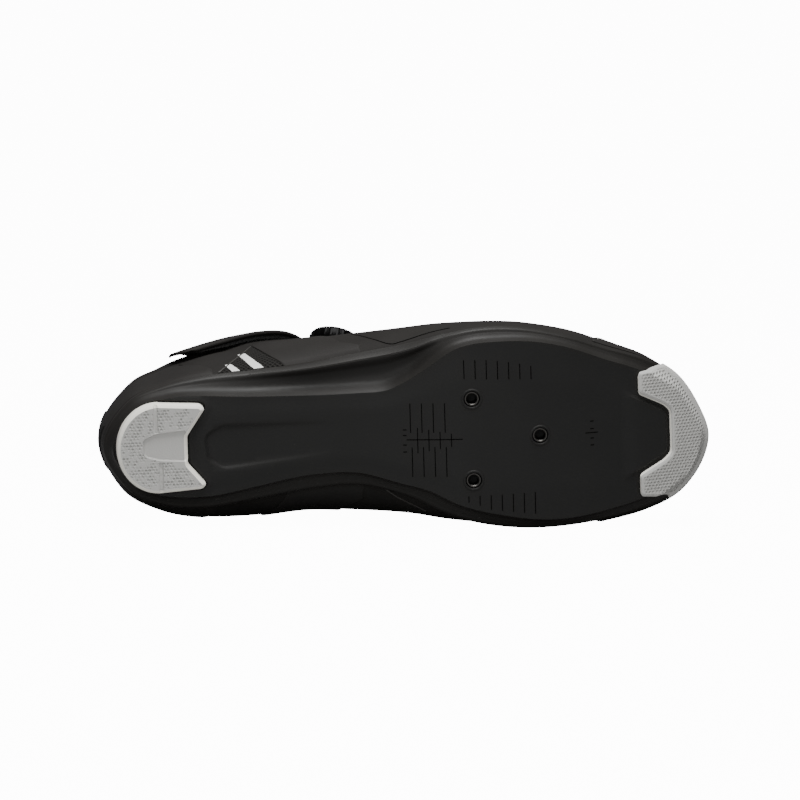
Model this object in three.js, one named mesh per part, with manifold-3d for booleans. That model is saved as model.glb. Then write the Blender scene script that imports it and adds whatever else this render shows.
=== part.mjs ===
// Right road cycling shoe with a three-bolt plate, an instep strap and a lace dial.
// Built in the shoe's own frame: x from heel to toe, y to the medial side, z up from the ground.
// At the end the whole shoe is laid on its medial side, on the hull face that its weight presses on.
// Lengths are millimetres.

import * as THREE from 'three';
import { mergeVertices } from 'three/addons/utils/BufferGeometryUtils.js';
import { ConvexHull } from 'three/addons/math/ConvexHull.js';
import Module from 'manifold-3d';

const wasm = await Module();
wasm.setup();

// Last
const LENGTH = 268;
const BALL_WIDTH = 92;
const INSTEP_HEIGHT = 100;
const TOE_LIFT = 33;
const BULGE = 10;
const WALL = 2;
const GAP = 0.3;

// Plate
const EDGE_ROLL = 6;
const FEATHER_INSET = 1;
const RIM_ROUND = 1;
const BOLT_SPREAD = 36.5;
const BOLT_AHEAD = 30;
const REAR_BOLT_X = 162;
const NUT_RADIUS = 3.3;
const NUT_BORE = 2.3;
const NUT_LENGTH = 5.5;
const NUT_SUNK = 0.8;
const RECESS_DEPTH = 1.2;
const BELOW = 5; // how far below the ground the cuts start

// Grey pads
const PAD_SEAT = 1.5;
const PAD_CLEARANCE = 0.8;
const HEEL_PAD_BACK = 5.4;
const HEEL_PAD_LENGTH = 39;
const HEEL_PAD_WIDTH = 40;
const HEEL_PAD_NOTCH = 8;
const HEEL_PAD_TIP = 2;
const TOE_PAD_LENGTH = 31;
const TOE_PAD_PROUD = 2.2;
const TOE_PAD_WRAP = 1;
const TOE_PAD_WIDTH = 56;
const TOE_NOTCH_DEPTH = 14.5;
const TOE_NOTCH_WIDTH = 37;
const TOE_NOTCH_FLOOR = 19;
const TOE_NOTCH_CORNER = 3;
const TOE_PAD_FLARE = 1.5;

// Inside
const INSOLE_THICKNESS = 3.5;
const INSOLE_CLEARANCE = 0.6;
const TONGUE_THICKNESS = 3.4;
const TONGUE_CLEARANCE = 0.8;

// Overlays and closure
const FILM = 0.9;
const SEAM_LIFT = 2;
const TAB_WIDTH = 20;
const TAB_SIDE = 1;
const TAB_FOOT = 26;
const TAB_TOP = 60;
const STRAP_WIDTH = 23;
const STRAP_THICKNESS = 2.4;
const STRAP_LIFT = 3;
const DIAL_RADIUS = 11.5;
const DIAL_BASE_HEIGHT = 2.6;
const DIAL_KNOB_HEIGHT = 5.6;
const DIAL_RIBS = 24;
const DIAL_RIB_DEPTH = 0.6;
const DIAL_BASE_LIP = 1;
const DIAL_BASE_FLARE = 2.5;
const LACE_DIAMETER = 1.4;
const LACE_LIFT = 0.6;
const LACE_STEP = 3.4;
const GUIDE_LENGTH = 11;
const GUIDE_WIDTH = 6;
const GUIDE_HEIGHT = 3.6;

const MEDIAL = 1;
const LATERAL = -1;

// Rim outline of the sole: stations as shares of the length, half widths as shares of the ball width
const RIM = [
  { at: 0.045, medial: 0.207, lateral: 0.24 },
  { at: 0.10, medial: 0.278, lateral: 0.308 },
  { at: 0.16, medial: 0.298, lateral: 0.342 },
  { at: 0.25, medial: 0.27, lateral: 0.36 },
  { at: 0.34, medial: 0.236, lateral: 0.382 },
  { at: 0.42, medial: 0.229, lateral: 0.414 },
  { at: 0.50, medial: 0.29, lateral: 0.455 },
  { at: 0.56, medial: 0.375, lateral: 0.5 },
  { at: 0.62, medial: 0.43, lateral: 0.528 },
  { at: 0.69, medial: 0.463, lateral: 0.517 },
  { at: 0.76, medial: 0.468, lateral: 0.467 },
  { at: 0.83, medial: 0.45, lateral: 0.391 },
  { at: 0.90, medial: 0.408, lateral: 0.312 },
  { at: 0.95, medial: 0.343, lateral: 0.212 },
  { at: 0.985, medial: 0.23, lateral: 0.05 },
];

// Where the rim ends at the heel and at the toe, sideways as shares of the ball width
const HEEL_TIP = -0.02;
const TOE_TIP = 0.09;

// The waist's recess, as seen from below: shares of the length and of the ball width
const WAIST_PANEL = [
  { at: 0.163, side: -0.078 }, { at: 0.193, side: -0.128 }, { at: 0.37, side: -0.115 },
  { at: 0.425, side: -0.03 }, { at: 0.40, side: 0.04 }, { at: 0.193, side: 0.097 },
  { at: 0.167, side: 0.045 },
];

// The plate's edge, in from the rim, as multiples of the edge roll
const PLATE = [
  { at: 0.00, medial: 0.65, lateral: 0.65 },
  { at: 0.10, medial: 1.1, lateral: 0.75 },
  { at: 0.20, medial: 1.2, lateral: 1.4 },
  { at: 0.32, medial: 1.4, lateral: 2.05 },
  { at: 0.42, medial: 1.2, lateral: 2.7 },
  { at: 0.465, medial: 1.05, lateral: 2.9 },
  { at: 0.50, medial: 1.1, lateral: 2.5 },
  { at: 0.54, medial: 1.4, lateral: 1.8 },
  { at: 0.58, medial: 1.25, lateral: 1.05 },
  { at: 0.65, medial: 1.1, lateral: 0.9 },
  { at: 0.75, medial: 0.8, lateral: 0.7 },
  { at: 0.88, medial: 0.9, lateral: 0.85 },
  { at: 1.00, medial: 0.6, lateral: 0.6 },
];

// The sole's side wall: way out from the plate's edge to the rim, height as a share of the sole's
// thickness, and what the side scoop adds where the plate's edge runs far in
const WALL_PROFILE = [
  { out: 0, share: 0.05, scoop: 0 },
  { out: 0.22, share: 0.4, scoop: 0.16 },
  { out: 0.58, share: 0.58, scoop: 0.04 },
  { out: 0.86, share: 0.66, scoop: -0.24 },
  { out: 1, share: 0.82, scoop: 0 },
];
const SCOOP_INSETS = [1.3, 2.4];

// Heights of the plate's underside and of the sole's top, as shares of the toe lift
const HEIGHT = [
  { at: 0.00, plate: 0.21, top: 0.5 },
  { at: 0.06, plate: 0.15, top: 0.48 },
  { at: 0.16, plate: 0.14, top: 0.49 },
  { at: 0.30, plate: 0.21, top: 0.56 },
  { at: 0.42, plate: 0.28, top: 0.6 },
  { at: 0.50, plate: 0.21, top: 0.52 },
  { at: 0.58, plate: 0.1, top: 0.39 },
  { at: 0.64, plate: 0.11, top: 0.395 },
  { at: 0.72, plate: 0.19, top: 0.46 },
  { at: 0.80, plate: 0.33, top: 0.585 },
  { at: 0.90, plate: 0.56, top: 0.78 },
  { at: 0.96, plate: 0.71, top: 0.91 },
  { at: 1.00, plate: 0.83, top: 1 },
];

// Spine of the last: sideways as a share of the ball width, ridge height as a share of the instep height
const SPINE = [
  { at: 0.16, side: -0.02, ridge: 1.1 },
  { at: 0.25, side: -0.033, ridge: 1.12 },
  { at: 0.33, side: -0.04, ridge: 1.07 },
  { at: 0.40, side: -0.043, ridge: 0.985 },
  { at: 0.46, side: -0.04, ridge: 0.9 },
  { at: 0.54, side: -0.033, ridge: 0.785 },
  { at: 0.62, side: -0.022, ridge: 0.69 },
  { at: 0.70, side: -0.005, ridge: 0.62 },
  { at: 0.78, side: 0.022, ridge: 0.575 },
  { at: 0.86, side: 0.055, ridge: 0.55 },
];
const HEEL_PIVOT = 0.16;
const TOE_PIVOT = 0.86;

// Fullness of the last: how far its side swells, in bulges; how high, as a share of the height;
// and how broad its shoulder is, as a share of the half width
const FULLNESS = [
  { at: 0.00, medial: 0.2, lateral: 0.2, rise: 0.24, shoulder: 0.94 },
  { at: 0.08, medial: 1.5, lateral: 0, rise: 0.22, shoulder: 0.87 },
  { at: 0.16, medial: 2.4, lateral: 0.8, rise: 0.2, shoulder: 0.87 },
  { at: 0.25, medial: 3.3, lateral: 1.3, rise: 0.18, shoulder: 0.9 },
  { at: 0.34, medial: 3.6, lateral: 1.4, rise: 0.17, shoulder: 0.9 },
  { at: 0.42, medial: 4.1, lateral: 1.5, rise: 0.18, shoulder: 0.82 },
  { at: 0.50, medial: 3.2, lateral: 1.5, rise: 0.2, shoulder: 0.74 },
  { at: 0.56, medial: 1.9, lateral: 1.2, rise: 0.24, shoulder: 0.68 },
  { at: 0.62, medial: 1.0, lateral: 0.8, rise: 0.28, shoulder: 0.64 },
  { at: 0.70, medial: 0.8, lateral: 0.8, rise: 0.32, shoulder: 0.62 },
  { at: 0.80, medial: 1.2, lateral: 0.9, rise: 0.4, shoulder: 0.64 },
  { at: 0.88, medial: 1.3, lateral: 0.4, rise: 0.46, shoulder: 0.67 },
  { at: 0.94, medial: 1.2, lateral: -0.1, rise: 0.48, shoulder: 0.69 },
  { at: 1.00, medial: 0.3, lateral: 0.3, rise: 0.5, shoulder: 0.7 },
];

// Edge of the collar and throat, as a share of the way from the sole to the ridge
const OPENING = [
  { at: 0.00, medial: 0.625, lateral: 0.625 },
  { at: 0.05, medial: 0.615, lateral: 0.615 },
  { at: 0.10, medial: 0.565, lateral: 0.565 },
  { at: 0.16, medial: 0.51, lateral: 0.5 },
  { at: 0.25, medial: 0.5, lateral: 0.49 },
  { at: 0.30, medial: 0.55, lateral: 0.54 },
  { at: 0.34, medial: 0.64, lateral: 0.63 },
  { at: 0.38, medial: 0.76, lateral: 0.76 },
  { at: 0.42, medial: 0.83, lateral: 0.83 },
  { at: 0.50, medial: 0.865, lateral: 0.865 },
  { at: 0.58, medial: 0.885, lateral: 0.885 },
  { at: 0.64, medial: 0.92, lateral: 0.92 },
  { at: 0.68, medial: 1, lateral: 1 },
];

// Panels as seen from the side: stations as shares of the length, heights above the seam along the sole
// as shares of the instep height. Each closes along that seam.
const TOE_CAP = [
  { at: 0.812, up: 0.02 }, { at: 0.822, up: 0.075 }, { at: 0.85, up: 0.2 }, { at: 0.88, up: 0.44 },
  { at: 1.05, up: 0.44 },
];
const HEEL_COUNTER = [
  { at: -0.05, up: 0.475 }, { at: 0.04, up: 0.46 }, { at: 0.1, up: 0.36 },
  { at: 0.13, up: 0.24 }, { at: 0.185, up: 0.03 },
];
const QUARTER = [
  { at: 0.3, up: 0.035 }, { at: 0.235, up: 0.305 }, { at: 0.26, up: 0.4 },
  { at: 0.34, up: 0.41 }, { at: 0.385, up: 0.285 }, { at: 0.44, up: 0.03 },
];

// Smooth curve through one column of a table, flat beyond its ends
function smoothColumn(rows, column) {
  const slopes = rows.map((row, i) => {
    const before = rows[Math.max(i - 1, 0)];
    const after = rows[Math.min(i + 1, rows.length - 1)];
    return (after[column] - before[column]) / (after.at - before.at);
  });
  return (at) => {
    if (at <= rows[0].at) return rows[0][column];
    const last = rows.length - 1;
    if (at >= rows[last].at) return rows[last][column];
    const i = rows.findIndex((row) => row.at > at) - 1;
    const span = rows[i + 1].at - rows[i].at;
    const t = (at - rows[i].at) / span;
    const start = rows[i][column] * (1 + 2 * t) * (1 - t) ** 2 + slopes[i] * span * t * (1 - t) ** 2;
    const end = rows[i + 1][column] * t * t * (3 - 2 * t) - slopes[i + 1] * span * t * t * (1 - t);
    return start + end;
  };
}

const plateHeight = smoothColumn(HEIGHT, 'plate');
const topHeight = smoothColumn(HEIGHT, 'top');
const spineSide = smoothColumn(SPINE, 'side');
const ridgeHeight = smoothColumn(SPINE, 'ridge');
const rise = smoothColumn(FULLNESS, 'rise');
const shoulder = smoothColumn(FULLNESS, 'shoulder');
const bySide = (rows) => ({
  [MEDIAL]: smoothColumn(rows, 'medial'),
  [LATERAL]: smoothColumn(rows, 'lateral'),
});
const plateInset = bySide(PLATE);
const swell = bySide(FULLNESS);
const openingShare = bySide(OPENING);

const plateZ = (x) => TOE_LIFT * plateHeight(x / LENGTH);
const topZ = (x) => TOE_LIFT * topHeight(x / LENGTH);

// Closed outline of the rim, as a fine polyline
function rimOutline() {
  const side = (name, sign) => RIM.map(
    (row) => new THREE.Vector3(row.at * LENGTH, sign * row[name] * BALL_WIDTH, 0),
  );
  const points = [
    new THREE.Vector3(0, HEEL_TIP * BALL_WIDTH, 0),
    ...side('lateral', LATERAL),
    new THREE.Vector3(LENGTH, TOE_TIP * BALL_WIDTH, 0),
    ...side('medial', MEDIAL).reverse(),
  ];
  const curve = new THREE.CatmullRomCurve3(points, true, 'centripetal');
  return curve.getPoints(points.length * 16);
}
const RIM_LINE = rimOutline();

// Distance from a spine point to the rim, along a level direction
function reachRim(x, y, dx, dy) {
  let reach = 0;
  for (let i = 0; i + 1 < RIM_LINE.length; i += 1) {
    const a = RIM_LINE[i];
    const ex = RIM_LINE[i + 1].x - a.x;
    const ey = RIM_LINE[i + 1].y - a.y;
    const cross = dx * ey - dy * ex;
    const along = ((a.x - x) * ey - (a.y - y) * ex) / cross;
    const share = ((a.x - x) * dy - (a.y - y) * dx) / cross;
    if (share >= -1e-9 && share <= 1 + 1e-9 && along > reach) reach = along;
  }
  return reach;
}

// A ray of the last: its spine point, its level direction and its reach to the rim.
// Rays fan out around the heel and the toe, and run straight across in between.
const rayCache = new Map();
function rayAt(p, side) {
  const key = `${p.toFixed(6)} ${side}`;
  if (rayCache.has(key)) return rayCache.get(key);
  const at = THREE.MathUtils.clamp(p, HEEL_PIVOT, TOE_PIVOT);
  const x = at * LENGTH;
  const y = spineSide(at) * BALL_WIDTH;
  let dx = 0;
  let dy = side;
  if (p < HEEL_PIVOT) {
    const turn = (p / HEEL_PIVOT) * Math.PI / 2;
    dx = -Math.cos(turn);
    dy = side * Math.sin(turn);
  } else if (p > TOE_PIVOT) {
    const turn = ((p - TOE_PIVOT) / (1 - TOE_PIVOT)) * Math.PI / 2;
    dx = Math.sin(turn);
    dy = side * Math.cos(turn);
  }
  const ray = { x, y, dx, dy, rim: reachRim(x, y, dx, dy) };
  rayCache.set(key, ray);
  return ray;
}

const alongRay = (ray, distance, z) => new THREE.Vector3(
  ray.x + ray.dx * distance,
  ray.y + ray.dy * distance,
  z,
);

// One half section of the sole, from its spine below to its spine above.
// grow moves the underside and the side wall outward.
function soleSection(p, side, grow = 0, wrap = grow) {
  const ray = rayAt(p, side);
  const inset = EDGE_ROLL * plateInset[side](p);
  const edge = ray.rim - inset;
  const at = (distance, share) => {
    const x = ray.x + ray.dx * distance;
    return alongRay(ray, distance + wrap * Math.min(1, distance / edge), THREE.MathUtils.lerp(
      plateZ(x) - grow,
      topZ(x),
      share,
    ));
  };
  const hollow = THREE.MathUtils.smoothstep(plateInset[side](p), ...SCOOP_INSETS);
  const wall = WALL_PROFILE.map(({ out, share, scoop }) => at(edge + inset * out, share + hollow * scoop));
  return [
    at(0, 0),
    at(edge * 0.55, 0),
    ...wall,
    at(ray.rim - RIM_ROUND, 1),
    at(ray.rim * 0.5, 1),
    at(0, 1),
  ];
}

// Point on the outside of the last: p runs from heel to toe, t from the sole up to the ridge
function lastPoint(p, side, t) {
  const ray = rayAt(p, side);
  const foot = ray.rim - FEATHER_INSET;
  const footX = ray.x + ray.dx * foot;
  const footZ = topZ(footX) + GAP;
  const at = THREE.MathUtils.clamp(p, HEEL_PIVOT, TOE_PIVOT);
  const ridgeZ = INSTEP_HEIGHT * ridgeHeight(at);
  const step = 0.01;
  const slope = INSTEP_HEIGHT * (ridgeHeight(at + step) - ridgeHeight(at - step)) / (2 * step * LENGTH);
  const level = shoulder(p) * foot;
  const sideways = BULGE * swell[side](p);
  const start = alongRay(ray, foot, footZ);
  const low = alongRay(ray, foot + sideways, footZ + rise(p) * (ridgeZ - footZ));
  const high = alongRay(ray, level, ridgeZ + level * ray.dx * slope);
  const ridge = alongRay(ray, 0, ridgeZ);
  return new THREE.CubicBezierCurve3(start, low, high, ridge).getPoint(t);
}

// Closed body from points and triangles: doubles merged, slivers dropped, faces outward
function closedBody(points, triangles) {
  const loose = new THREE.BufferGeometry();
  loose.setAttribute('position', new THREE.Float32BufferAttribute(points.flatMap((v) => v.toArray()), 3));
  loose.setIndex(triangles.flat());
  return cleanBody(loose);
}

function cleanBody(loose) {
  loose.deleteAttribute('normal');
  loose.deleteAttribute('uv');
  const merged = mergeVertices(loose, 1e-3);
  const index = merged.getIndex().array;
  const kept = [];
  for (let i = 0; i < index.length; i += 3) {
    const [a, b, c] = [index[i], index[i + 1], index[i + 2]];
    if (a !== b && b !== c && c !== a) kept.push(a, b, c);
  }
  if (signedVolume(merged, kept) < 0) kept.reverse();
  merged.setIndex(kept);
  merged.computeVertexNormals();
  return merged;
}

function signedVolume(geometry, index) {
  const position = geometry.getAttribute('position');
  const corner = (i) => new THREE.Vector3().fromBufferAttribute(position, i);
  let volume = 0;
  for (let i = 0; i < index.length; i += 3) {
    volume += corner(index[i]).dot(corner(index[i + 1]).cross(corner(index[i + 2]))) / 6;
  }
  return volume;
}

function toSolid(geometry) {
  const clean = cleanBody(geometry);
  return new wasm.Manifold(new wasm.Mesh({
    numProp: 3,
    vertProperties: new Float32Array(clean.getAttribute('position').array),
    triVerts: new Uint32Array(clean.getIndex().array),
  }));
}

function fromSolid(solid) {
  const mesh = solid.getMesh();
  const geometry = new THREE.BufferGeometry();
  geometry.setAttribute('position', new THREE.Float32BufferAttribute(mesh.vertProperties, 3));
  geometry.setIndex([...mesh.triVerts]);
  geometry.computeVertexNormals();
  return geometry;
}

// Triangles of a grid of points, columns x rows, which may wrap round its columns
function gridTriangles(columns, rows, wraps) {
  const triangles = [];
  const last = wraps ? columns : columns - 1;
  for (let i = 0; i < last; i += 1) {
    const next = (i + 1) % columns;
    for (let j = 0; j + 1 < rows; j += 1) {
      const [a, b] = [i * rows + j, next * rows + j];
      triangles.push([a, b, b + 1], [a, b + 1, a + 1]);
    }
  }
  return triangles;
}

// Stations round the whole shoe: out along the lateral side and back along the medial side
function stationsAround(heelSteps, midSteps, toeSteps) {
  const shares = [];
  for (let i = 0; i < heelSteps; i += 1) shares.push(HEEL_PIVOT * i / heelSteps);
  for (let i = 0; i < midSteps; i += 1) shares.push(THREE.MathUtils.lerp(HEEL_PIVOT, TOE_PIVOT, i / midSteps));
  for (let i = 0; i < toeSteps; i += 1) shares.push(THREE.MathUtils.lerp(TOE_PIVOT, 1, i / toeSteps));
  const out = [...shares, 1].map((p) => ({ p, side: LATERAL }));
  const back = shares.slice(1).reverse().map((p) => ({ p, side: MEDIAL }));
  return [...out, ...back];
}
const STATIONS = stationsAround(6, 25, 7);

// Sheet with its shared points merged: where each grid point went, and a normal for each merged point
function mergeSheet(points, triangles) {
  const places = new Map();
  const unique = [];
  const lookup = points.map((point) => {
    const key = point.toArray().map((value) => Math.round(value * 1000)).join(' ');
    if (!places.has(key)) {
      places.set(key, unique.length);
      unique.push(point);
    }
    return places.get(key);
  });
  const kept = triangles
    .map((triangle) => triangle.map((i) => lookup[i]))
    .filter(([a, b, c]) => a !== b && b !== c && c !== a);
  const normals = unique.map(() => new THREE.Vector3());
  for (const [a, b, c] of kept) {
    const one = unique[b].clone().sub(unique[a]);
    const face = one.cross(unique[c].clone().sub(unique[a]));
    for (const i of [a, b, c]) normals[i].add(face);
  }
  normals.forEach((normal) => normal.normalize());
  return { points: unique, lookup, triangles: kept, normals };
}

// Open sheet thickened into a closed body between two offsets from it, each a distance or a function
// of the merged point's number
function thicken(sheet, outerOffset, innerPoint) {
  const count = sheet.points.length;
  const outer = sheet.points.map((v, i) => v.clone().addScaledVector(sheet.normals[i], outerOffset(i)));
  const inner = sheet.points.map((v, i) => innerPoint(v, sheet.normals[i], i));
  const edges = new Set(sheet.triangles.flatMap(([a, b, c]) => [`${a} ${b}`, `${b} ${c}`, `${c} ${a}`]));
  const walls = [];
  for (const edge of edges) {
    const [a, b] = edge.split(' ').map(Number);
    if (edges.has(`${b} ${a}`)) continue;
    walls.push([b, a, a + count], [b, a + count, b + count]);
  }
  const under = sheet.triangles.map(([a, b, c]) => [c + count, b + count, a + count]);
  return closedBody([...outer, ...inner], [...sheet.triangles, ...under, ...walls]);
}

const offsetBy = (distance) => (point, normal) => point.clone().addScaledVector(normal, distance);

// Prism over a level outline, between two heights
function prism(outline, bottom, top) {
  const geometry = new THREE.ExtrudeGeometry(outline, {
    depth: top - bottom,
    bevelEnabled: false,
    curveSegments: 14,
  });
  geometry.translate(0, 0, bottom);
  return toSolid(geometry);
}

function polygon(points) {
  return new THREE.Shape(points.map(([x, y]) => new THREE.Vector2(x, y)));
}

function cylinder(radius, bottom, top, x, y, segments = 20) {
  const geometry = new THREE.CylinderGeometry(radius, radius, top - bottom, segments);
  geometry.rotateX(Math.PI / 2);
  geometry.translate(x, y, (top + bottom) / 2);
  return geometry;
}

// The D of the heel pad, with its notch to the front; margin makes it larger all round
function heelPadOutline(margin) {
  const half = HEEL_PAD_WIDTH / 2 + margin;
  const back = HEEL_PAD_BACK - margin;
  const front = HEEL_PAD_BACK + HEEL_PAD_LENGTH + margin;
  const middle = HEEL_TIP * BALL_WIDTH - HEEL_PAD_TIP / 2;
  const round = back + half * 0.92;
  const shape = new THREE.Shape();
  shape.moveTo(front - HEEL_PAD_TIP, middle - half * 0.94);
  shape.lineTo(front, middle - half * 0.94 + HEEL_PAD_TIP);
  shape.lineTo(front - HEEL_PAD_NOTCH, middle - half * 0.25);
  shape.lineTo(front - HEEL_PAD_NOTCH, middle + half * 0.36);
  shape.lineTo(front, middle + half * 0.94 - HEEL_PAD_TIP);
  shape.lineTo(front - HEEL_PAD_TIP, middle + half * 0.94);
  shape.lineTo(round, middle + half);
  shape.absellipse(round, middle, round - back, half, Math.PI / 2, Math.PI * 1.5, false);
  shape.closePath();
  return shape;
}

// The C of the toe pad, open to the heel, with an outer edge beyond the rim
function toePadOutline() {
  const back = LENGTH - TOE_PAD_LENGTH;
  const notch = back + TOE_NOTCH_DEPTH;
  const middle = TOE_TIP * BALL_WIDTH * 0.45;
  const flareEnd = back + TOE_NOTCH_DEPTH * 0.9;
  const mouth = TOE_NOTCH_WIDTH / 2;
  const floor = TOE_NOTCH_FLOOR / 2;
  const outer = TOE_PAD_WIDTH / 2;
  const half = [
    [back, mouth],
    [back, outer],
    [flareEnd, outer + TOE_PAD_FLARE],
    [LENGTH, BALL_WIDTH],
    [LENGTH * 1.1, 0],
  ];
  const floorHalf = [[notch, floor], [notch - TOE_NOTCH_CORNER, floor + TOE_NOTCH_CORNER]];
  const lateral = half.map(([x, y]) => [x, middle - y]);
  const medial = half.slice(0, -1).reverse().map(([x, y]) => [x, middle + y]);
  const notchMedial = [...floorHalf].reverse().map(([x, y]) => [x, middle + y]);
  const notchLateral = floorHalf.map(([x, y]) => [x, middle - y]);
  return polygon([...lateral, ...medial, ...notchMedial, ...notchLateral]);
}

function soleBody(grow = 0, wrap = grow) {
  const sections = STATIONS.map(({ p, side }) => soleSection(p, side, grow, wrap));
  return closedBody(sections.flat(), gridTriangles(sections.length, sections[0].length, true));
}

const BOLTS = [
  { name: 'nut_front', x: REAR_BOLT_X + BOLT_AHEAD, y: 0 },
  { name: 'nut_rear_lateral', x: REAR_BOLT_X, y: -BOLT_SPREAD / 2 },
  { name: 'nut_rear_medial', x: REAR_BOLT_X, y: BOLT_SPREAD / 2 },
];
const nutFoot = ({ x }) => plateZ(x) + NUT_SUNK;

function outsole() {
  const heelPlate = plateZ(HEEL_PAD_BACK + HEEL_PAD_LENGTH / 2);
  let solid = toSolid(soleBody());
  solid = solid.subtract(prism(heelPadOutline(PAD_CLEARANCE), -BELOW, heelPlate + PAD_SEAT));
  for (const bolt of BOLTS) {
    const well = cylinder(NUT_RADIUS + GAP, -BELOW, nutFoot(bolt) + NUT_LENGTH + GAP, bolt.x, bolt.y);
    solid = solid.subtract(toSolid(well));
  }
  return fromSolid(solid.subtract(waistPanel()));
}

// The long hexagonal recess of the waist, fading out to the front
function waistPanel() {
  const outline = WAIST_PANEL.map(({ at, side }) => [at * LENGTH, side * BALL_WIDTH]);
  const geometry = new THREE.ExtrudeGeometry(polygon(outline), { depth: 1, bevelEnabled: false });
  const position = geometry.getAttribute('position');
  const [rear, front] = [WAIST_PANEL[0].at * LENGTH, WAIST_PANEL[3].at * LENGTH];
  for (let i = 0; i < position.count; i += 1) {
    const x = position.getX(i);
    const depth = THREE.MathUtils.mapLinear(x, rear, front, RECESS_DEPTH, -0.2);
    position.setZ(i, position.getZ(i) > 0.5 ? plateZ(x) + depth : -BELOW);
  }
  return toSolid(geometry);
}

function heelTread() {
  const seat = plateZ(HEEL_PAD_BACK + HEEL_PAD_LENGTH / 2) + PAD_SEAT;
  return fromSolid(prism(heelPadOutline(0), 0, seat - GAP));
}

function toeTread() {
  const outer = toSolid(soleBody(TOE_PAD_PROUD + GAP, TOE_PAD_WRAP + GAP));
  const inner = toSolid(soleBody(GAP, GAP));
  const pad = outer.subtract(inner).intersect(prism(toePadOutline(), -BELOW, TOE_LIFT * 2));
  const slope = TOE_LIFT * (topHeight(1) - topHeight(0.88)) / (0.12 * LENGTH);
  const lid = new THREE.BoxGeometry(LENGTH, BALL_WIDTH * 2, TOE_LIFT * 2);
  lid.translate(0, 0, TOE_LIFT);
  lid.rotateY(-Math.atan(slope));
  lid.translate(LENGTH, 0, TOE_LIFT - 2);
  return fromSolid(pad.subtract(toSolid(lid)));
}

function nut(bolt) {
  const foot = nutFoot(bolt);
  const body = toSolid(cylinder(NUT_RADIUS, foot, foot + NUT_LENGTH, bolt.x, bolt.y));
  const bore = toSolid(cylinder(NUT_BORE, foot - 1, foot + NUT_LENGTH + 1, bolt.x, bolt.y));
  return fromSolid(body.subtract(bore));
}

// The upper's lower edge is turned in where its side leans far out
function feltEdge(p, side) {
  const start = lastPoint(p, side, 0);
  const next = lastPoint(p, side, 0.04);
  const lean = Math.atan2(next.z - start.z, Math.hypot(next.x - start.x, next.y - start.y));
  return WALL / Math.max(Math.sin(lean), 0.4);
}

const UPPER_ROWS = 11;
const CLOSING_ROWS = 4;

// The last's outside as a sheet, up to its opening or, with more rows, closed over it
function lastSheet(closingRows) {
  const rows = UPPER_ROWS + closingRows;
  const points = [];
  for (const { p, side } of STATIONS) {
    const edge = openingShare[side](p);
    for (let j = 0; j < UPPER_ROWS; j += 1) {
      points.push(lastPoint(p, side, edge * j / (UPPER_ROWS - 1)));
    }
    for (let j = 1; j <= closingRows; j += 1) {
      points.push(lastPoint(p, side, THREE.MathUtils.lerp(edge, 1, j / closingRows)));
    }
  }
  const sheet = mergeSheet(points, gridTriangles(STATIONS.length, rows, true));
  const volume = sheet.triangles.reduce((sum, [a, b, c]) => (
    sum + sheet.points[a].dot(sheet.points[b].clone().cross(sheet.points[c]))
  ), 0);
  if (volume < 0) {
    sheet.triangles.forEach((triangle) => triangle.reverse());
    sheet.normals.forEach((normal) => normal.negate());
  }
  return sheet;
}

function upper() {
  const sheet = lastSheet(0);
  const feet = new Map(STATIONS.map(({ p, side }, i) => {
    const ray = rayAt(p, side);
    const foot = lastPoint(p, side, 0);
    const inward = feltEdge(p, side);
    const inner = new THREE.Vector3(foot.x - ray.dx * inward, foot.y - ray.dy * inward, foot.z);
    return [sheet.lookup[i * UPPER_ROWS], inner];
  }));
  const inside = offsetBy(-WALL);
  return thicken(sheet, () => 0, (point, normal, i) => feet.get(i) ?? inside(point, normal));
}

// Solid of the whole last, closed over its openings and grown all round
const formCache = new Map();
function lastForm(grow) {
  const key = grow.toFixed(4);
  if (formCache.has(key)) return formCache.get(key);
  const sheet = lastSheet(CLOSING_ROWS);
  const points = sheet.points.map((v, i) => v.clone().addScaledVector(sheet.normals[i], grow));
  const half = STATIONS.length / 2;
  const foot = (i) => sheet.lookup[(i % STATIONS.length) * (UPPER_ROWS + CLOSING_ROWS)];
  const floor = [];
  for (let i = 0; i < half; i += 1) {
    const [a, b] = [foot(i), foot(i + 1)];
    const [c, d] = [foot(STATIONS.length - i - 1), foot(STATIONS.length - i)];
    floor.push([a, c, b], [a, d, c]);
  }
  const body = closedBody(points, [...sheet.triangles, ...floor]);
  const solid = toSolid(body);
  formCache.set(key, solid);
  return solid;
}

// Film panel lying on the upper, cut out by an outline as seen from the side; level counts the layers below
function sidePanel(rows, sides, level = 0) {
  const lift = GAP + level * (FILM + GAP);
  const seam = (at, up = 0) => [at * LENGTH, topZ(at * LENGTH) + SEAM_LIFT + up * INSTEP_HEIGHT];
  const outline = rows.map(({ at, up }) => seam(at, up));
  const [rear, front] = [rows[0].at, rows[rows.length - 1].at];
  const steps = 12;
  for (let i = 0; i <= steps; i += 1) outline.push(seam(THREE.MathUtils.lerp(front, rear, i / steps)));
  const geometry = new THREE.ExtrudeGeometry(polygon(outline), { depth: BALL_WIDTH * 2, bevelEnabled: false });
  geometry.rotateX(Math.PI / 2);
  const start = { both: BALL_WIDTH, medial: BALL_WIDTH * 2, lateral: 0 }[sides];
  geometry.translate(0, start, 0);
  return fromSolid(lastForm(lift + FILM).subtract(lastForm(lift)).intersect(toSolid(geometry)));
}

// Patch on the back of the heel, over the counter
function heelTab() {
  const lift = GAP + FILM + GAP;
  const box = new THREE.BoxGeometry(LENGTH / 5, TAB_WIDTH, TAB_TOP - TAB_FOOT);
  box.translate(0, TAB_SIDE, (TAB_TOP + TAB_FOOT) / 2);
  return fromSolid(lastForm(lift + FILM).subtract(lastForm(lift)).intersect(toSolid(box)));
}

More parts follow.
